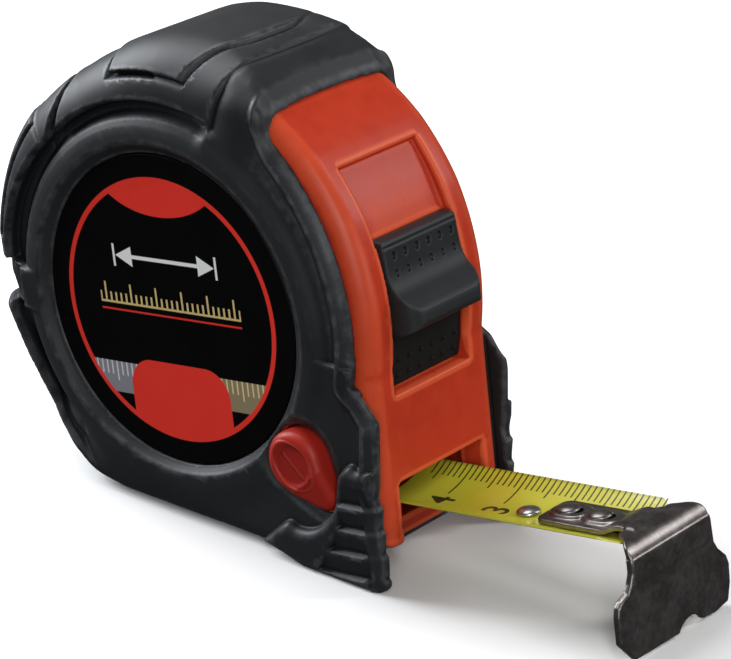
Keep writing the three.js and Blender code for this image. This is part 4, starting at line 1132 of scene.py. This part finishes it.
def domed_rivet(name, u, base, finish, node):
    """A rivet with a domed head above the blade and a flat one below."""
    turns = np.linspace(0, math.pi / 2, 9)
    dome = [(1.75 * math.sin(a), base + 0.15 + 0.62 * math.cos(a)) for a in turns]
    shank = [(1.05, base - 0.02), (1.05, -0.15)]
    profile = [*dome, (1.75, base), *shank, (1.65, -0.2), (1.6, -0.8), (0, -0.85)]
    made = lathe(name, profile, BLADE_FRAME @ Matrix.Translation((u, 0, 0)), 32)
    settle(made, "blade", finish, node)


def rivets():
    domed_rivet("blade_rivet_dome", 16.0, float(trough(1.7)) + 0.15, "steel", "blade_rivet")
    for i, u in enumerate(HOOK_RIVETS, 1):
        domed_rivet(f"hook_rivet_dome_{i}", u, 1.9, "hook_steel", f"hook_rivet_{i}")


def hook():
    """Bent sheet: a tongue on the blade, a flange at the tip, and an apron with two ears below it."""
    block = Block((18.5, -14, -14.6), (41.4, 14, 5.2), 0.15)
    u, v, w = block.x, block.y, block.z
    half_t = 0.42
    rise = [(18, 1.25), (31.0, 1.25), (31.6, 1.4), (33.2, 2.1), (34.0, 2.35)]
    line = [*rise, *arc(37.1, -0.25, 2.6, 90, 0, 24), (39.7, -14.5)]
    sheet = line_distance(u, w, line) - half_t - 0.13 * step(37, 39.5, u)
    tongue_end = both(19.9 - u, np.abs(v) - 4.0, 1.6)
    tongue = both(sheet, np.maximum(tongue_end, u - 37), 0.25)
    half = 6.4 + 2.8 * step(36, 39.7, u)
    flange = both(sheet, both(np.abs(v) - half, 35.8 - u, 0.8), 0.25)
    flange = both(flange, -3.0 - w)
    ears = [
        (-9.2, 3.2), (-9.3, -1.2), (-9.9, -2.6), (-10.7, -3.6), (-12.3, -4.2), (-13.0, -4.9), (-13.3, -6.2),
        (-13.3, -10.1), (-10.2, -13.4), *arc(2.9, -15.6, 3.5, 145, 35, 16), (9, -13.8), (12.0, -13.3),
        (12.8, -10.7), (12.9, -8.0), (12.4, -6.6), (10.6, -4.9), (9.8, -3.6), (9.5, -0.4), (9.2, 3.2),
    ]
    apron = both(sheet, outline_distance(v, w, offset(ears, -0.3)) - 0.3, 0.28)
    apron = both(both(apron, w - 0.5), 36 - u)
    body = joined(joined(tongue, flange, 0.8), apron, 0.3)
    for at in HOOK_RIVETS:
        # A raised boss with a slot in it, as long as the play of the hook.
        near = np.hypot(np.maximum(np.abs(u - at - 0.6) - 0.6, 0), v)
        body = joined(body, both(near - 2.5, np.abs(w - 1.75) - 0.35, 0.3), 0.5)
        body = without(body, near - 1.2)
    made = block.solid("end_hook_plate", body, frame=BLADE_FRAME)
    settle(made, "hook", "hook_steel", "end_hook")


# ---- belt clip ---------------------------------------------------------------------------------------
def belt_clip():
    """A bent spring-steel strip with a pressed rib, standing off the back label."""
    block = Block((-8.6, 13.9, 13.4), (8.6, 21.8, 54.8), 0.2)
    x, y, z = block.x, block.y, block.z
    bends = [
        (14.95, 53.9), (14.95, 48.0), (15.0, 46.2), (15.6, 44.8), (19.4, 41.0), (20.3, 39.6), (20.45, 38.0),
        (19.1, 21.2), (19.1, 19.4), (19.5, 17.6), (20.5, 14.2),
    ]
    rib = (1 - step(1.4, 2.6, np.abs(x))) * band(z, 23.5, 35.5, 1.5)
    sheet = line_distance(y, z, curve(bends, 4)) - 0.5 - 0.35 * rib
    plan = both(np.abs(x) - 8.0, np.abs(z - 34.0) - 20.0, 2.2)
    body = both(sheet, plan, 0.35)
    for side, height in CLIP_SCREWS:
        body = both(body, 1.45 - np.hypot(x - side, z - height), 0.15)
    made = block.solid("belt_clip_strip", body)
    settle(made, "case", "steel", "belt_clip")


# ---- floor, CAD nodes that stay, and the build -------------------------------------------------------
def floor():
    bpy.ops.mesh.primitive_plane_add(size=6)
    made = bpy.context.object
    made.name = "studio_floor"
    made.data.materials.append(floor_finish())
    made.visible_glossy = False
    made.visible_diffuse = False


KEPT = {
    "steel": (
        "centre_post", "button_spring", "case_screw_1", "case_screw_2", "case_screw_3", "case_screw_4",
        "clip_screw_1", "clip_screw_2",
    ),
    "pale_plastic": ("reel_drum", "reel_cover"),
    "spring_steel": ("power_spring",),
    "blade_paint": ("blade_coil",),
    "black_plastic": ("lock_plate",),
    "black_rubber": ("brake_shoe", "stop_pad"),
}


def keep_nodes():
    """The nodes whose own shape is right get their finish here."""
    for kind, names in KEPT.items():
        for name in names:
            for slot in frame["nodes"][name].material_slots:
                slot.material = FINISHES[kind]


world = bpy.data.worlds.new("studio")
bpy.context.scene.world = world
world.use_nodes = True
sky = world.node_tree.nodes["Background"].inputs
sky["Color"].default_value = (1, 1, 1, 1)
sky["Strength"].default_value = 0.08
bpy.context.scene.view_settings.view_transform = "Standard"

floor()
casing()
jacket()
labels()
slider()
stop_button()
blade()
scale_print()
rivets()
hook()
belt_clip()
keep_nodes()
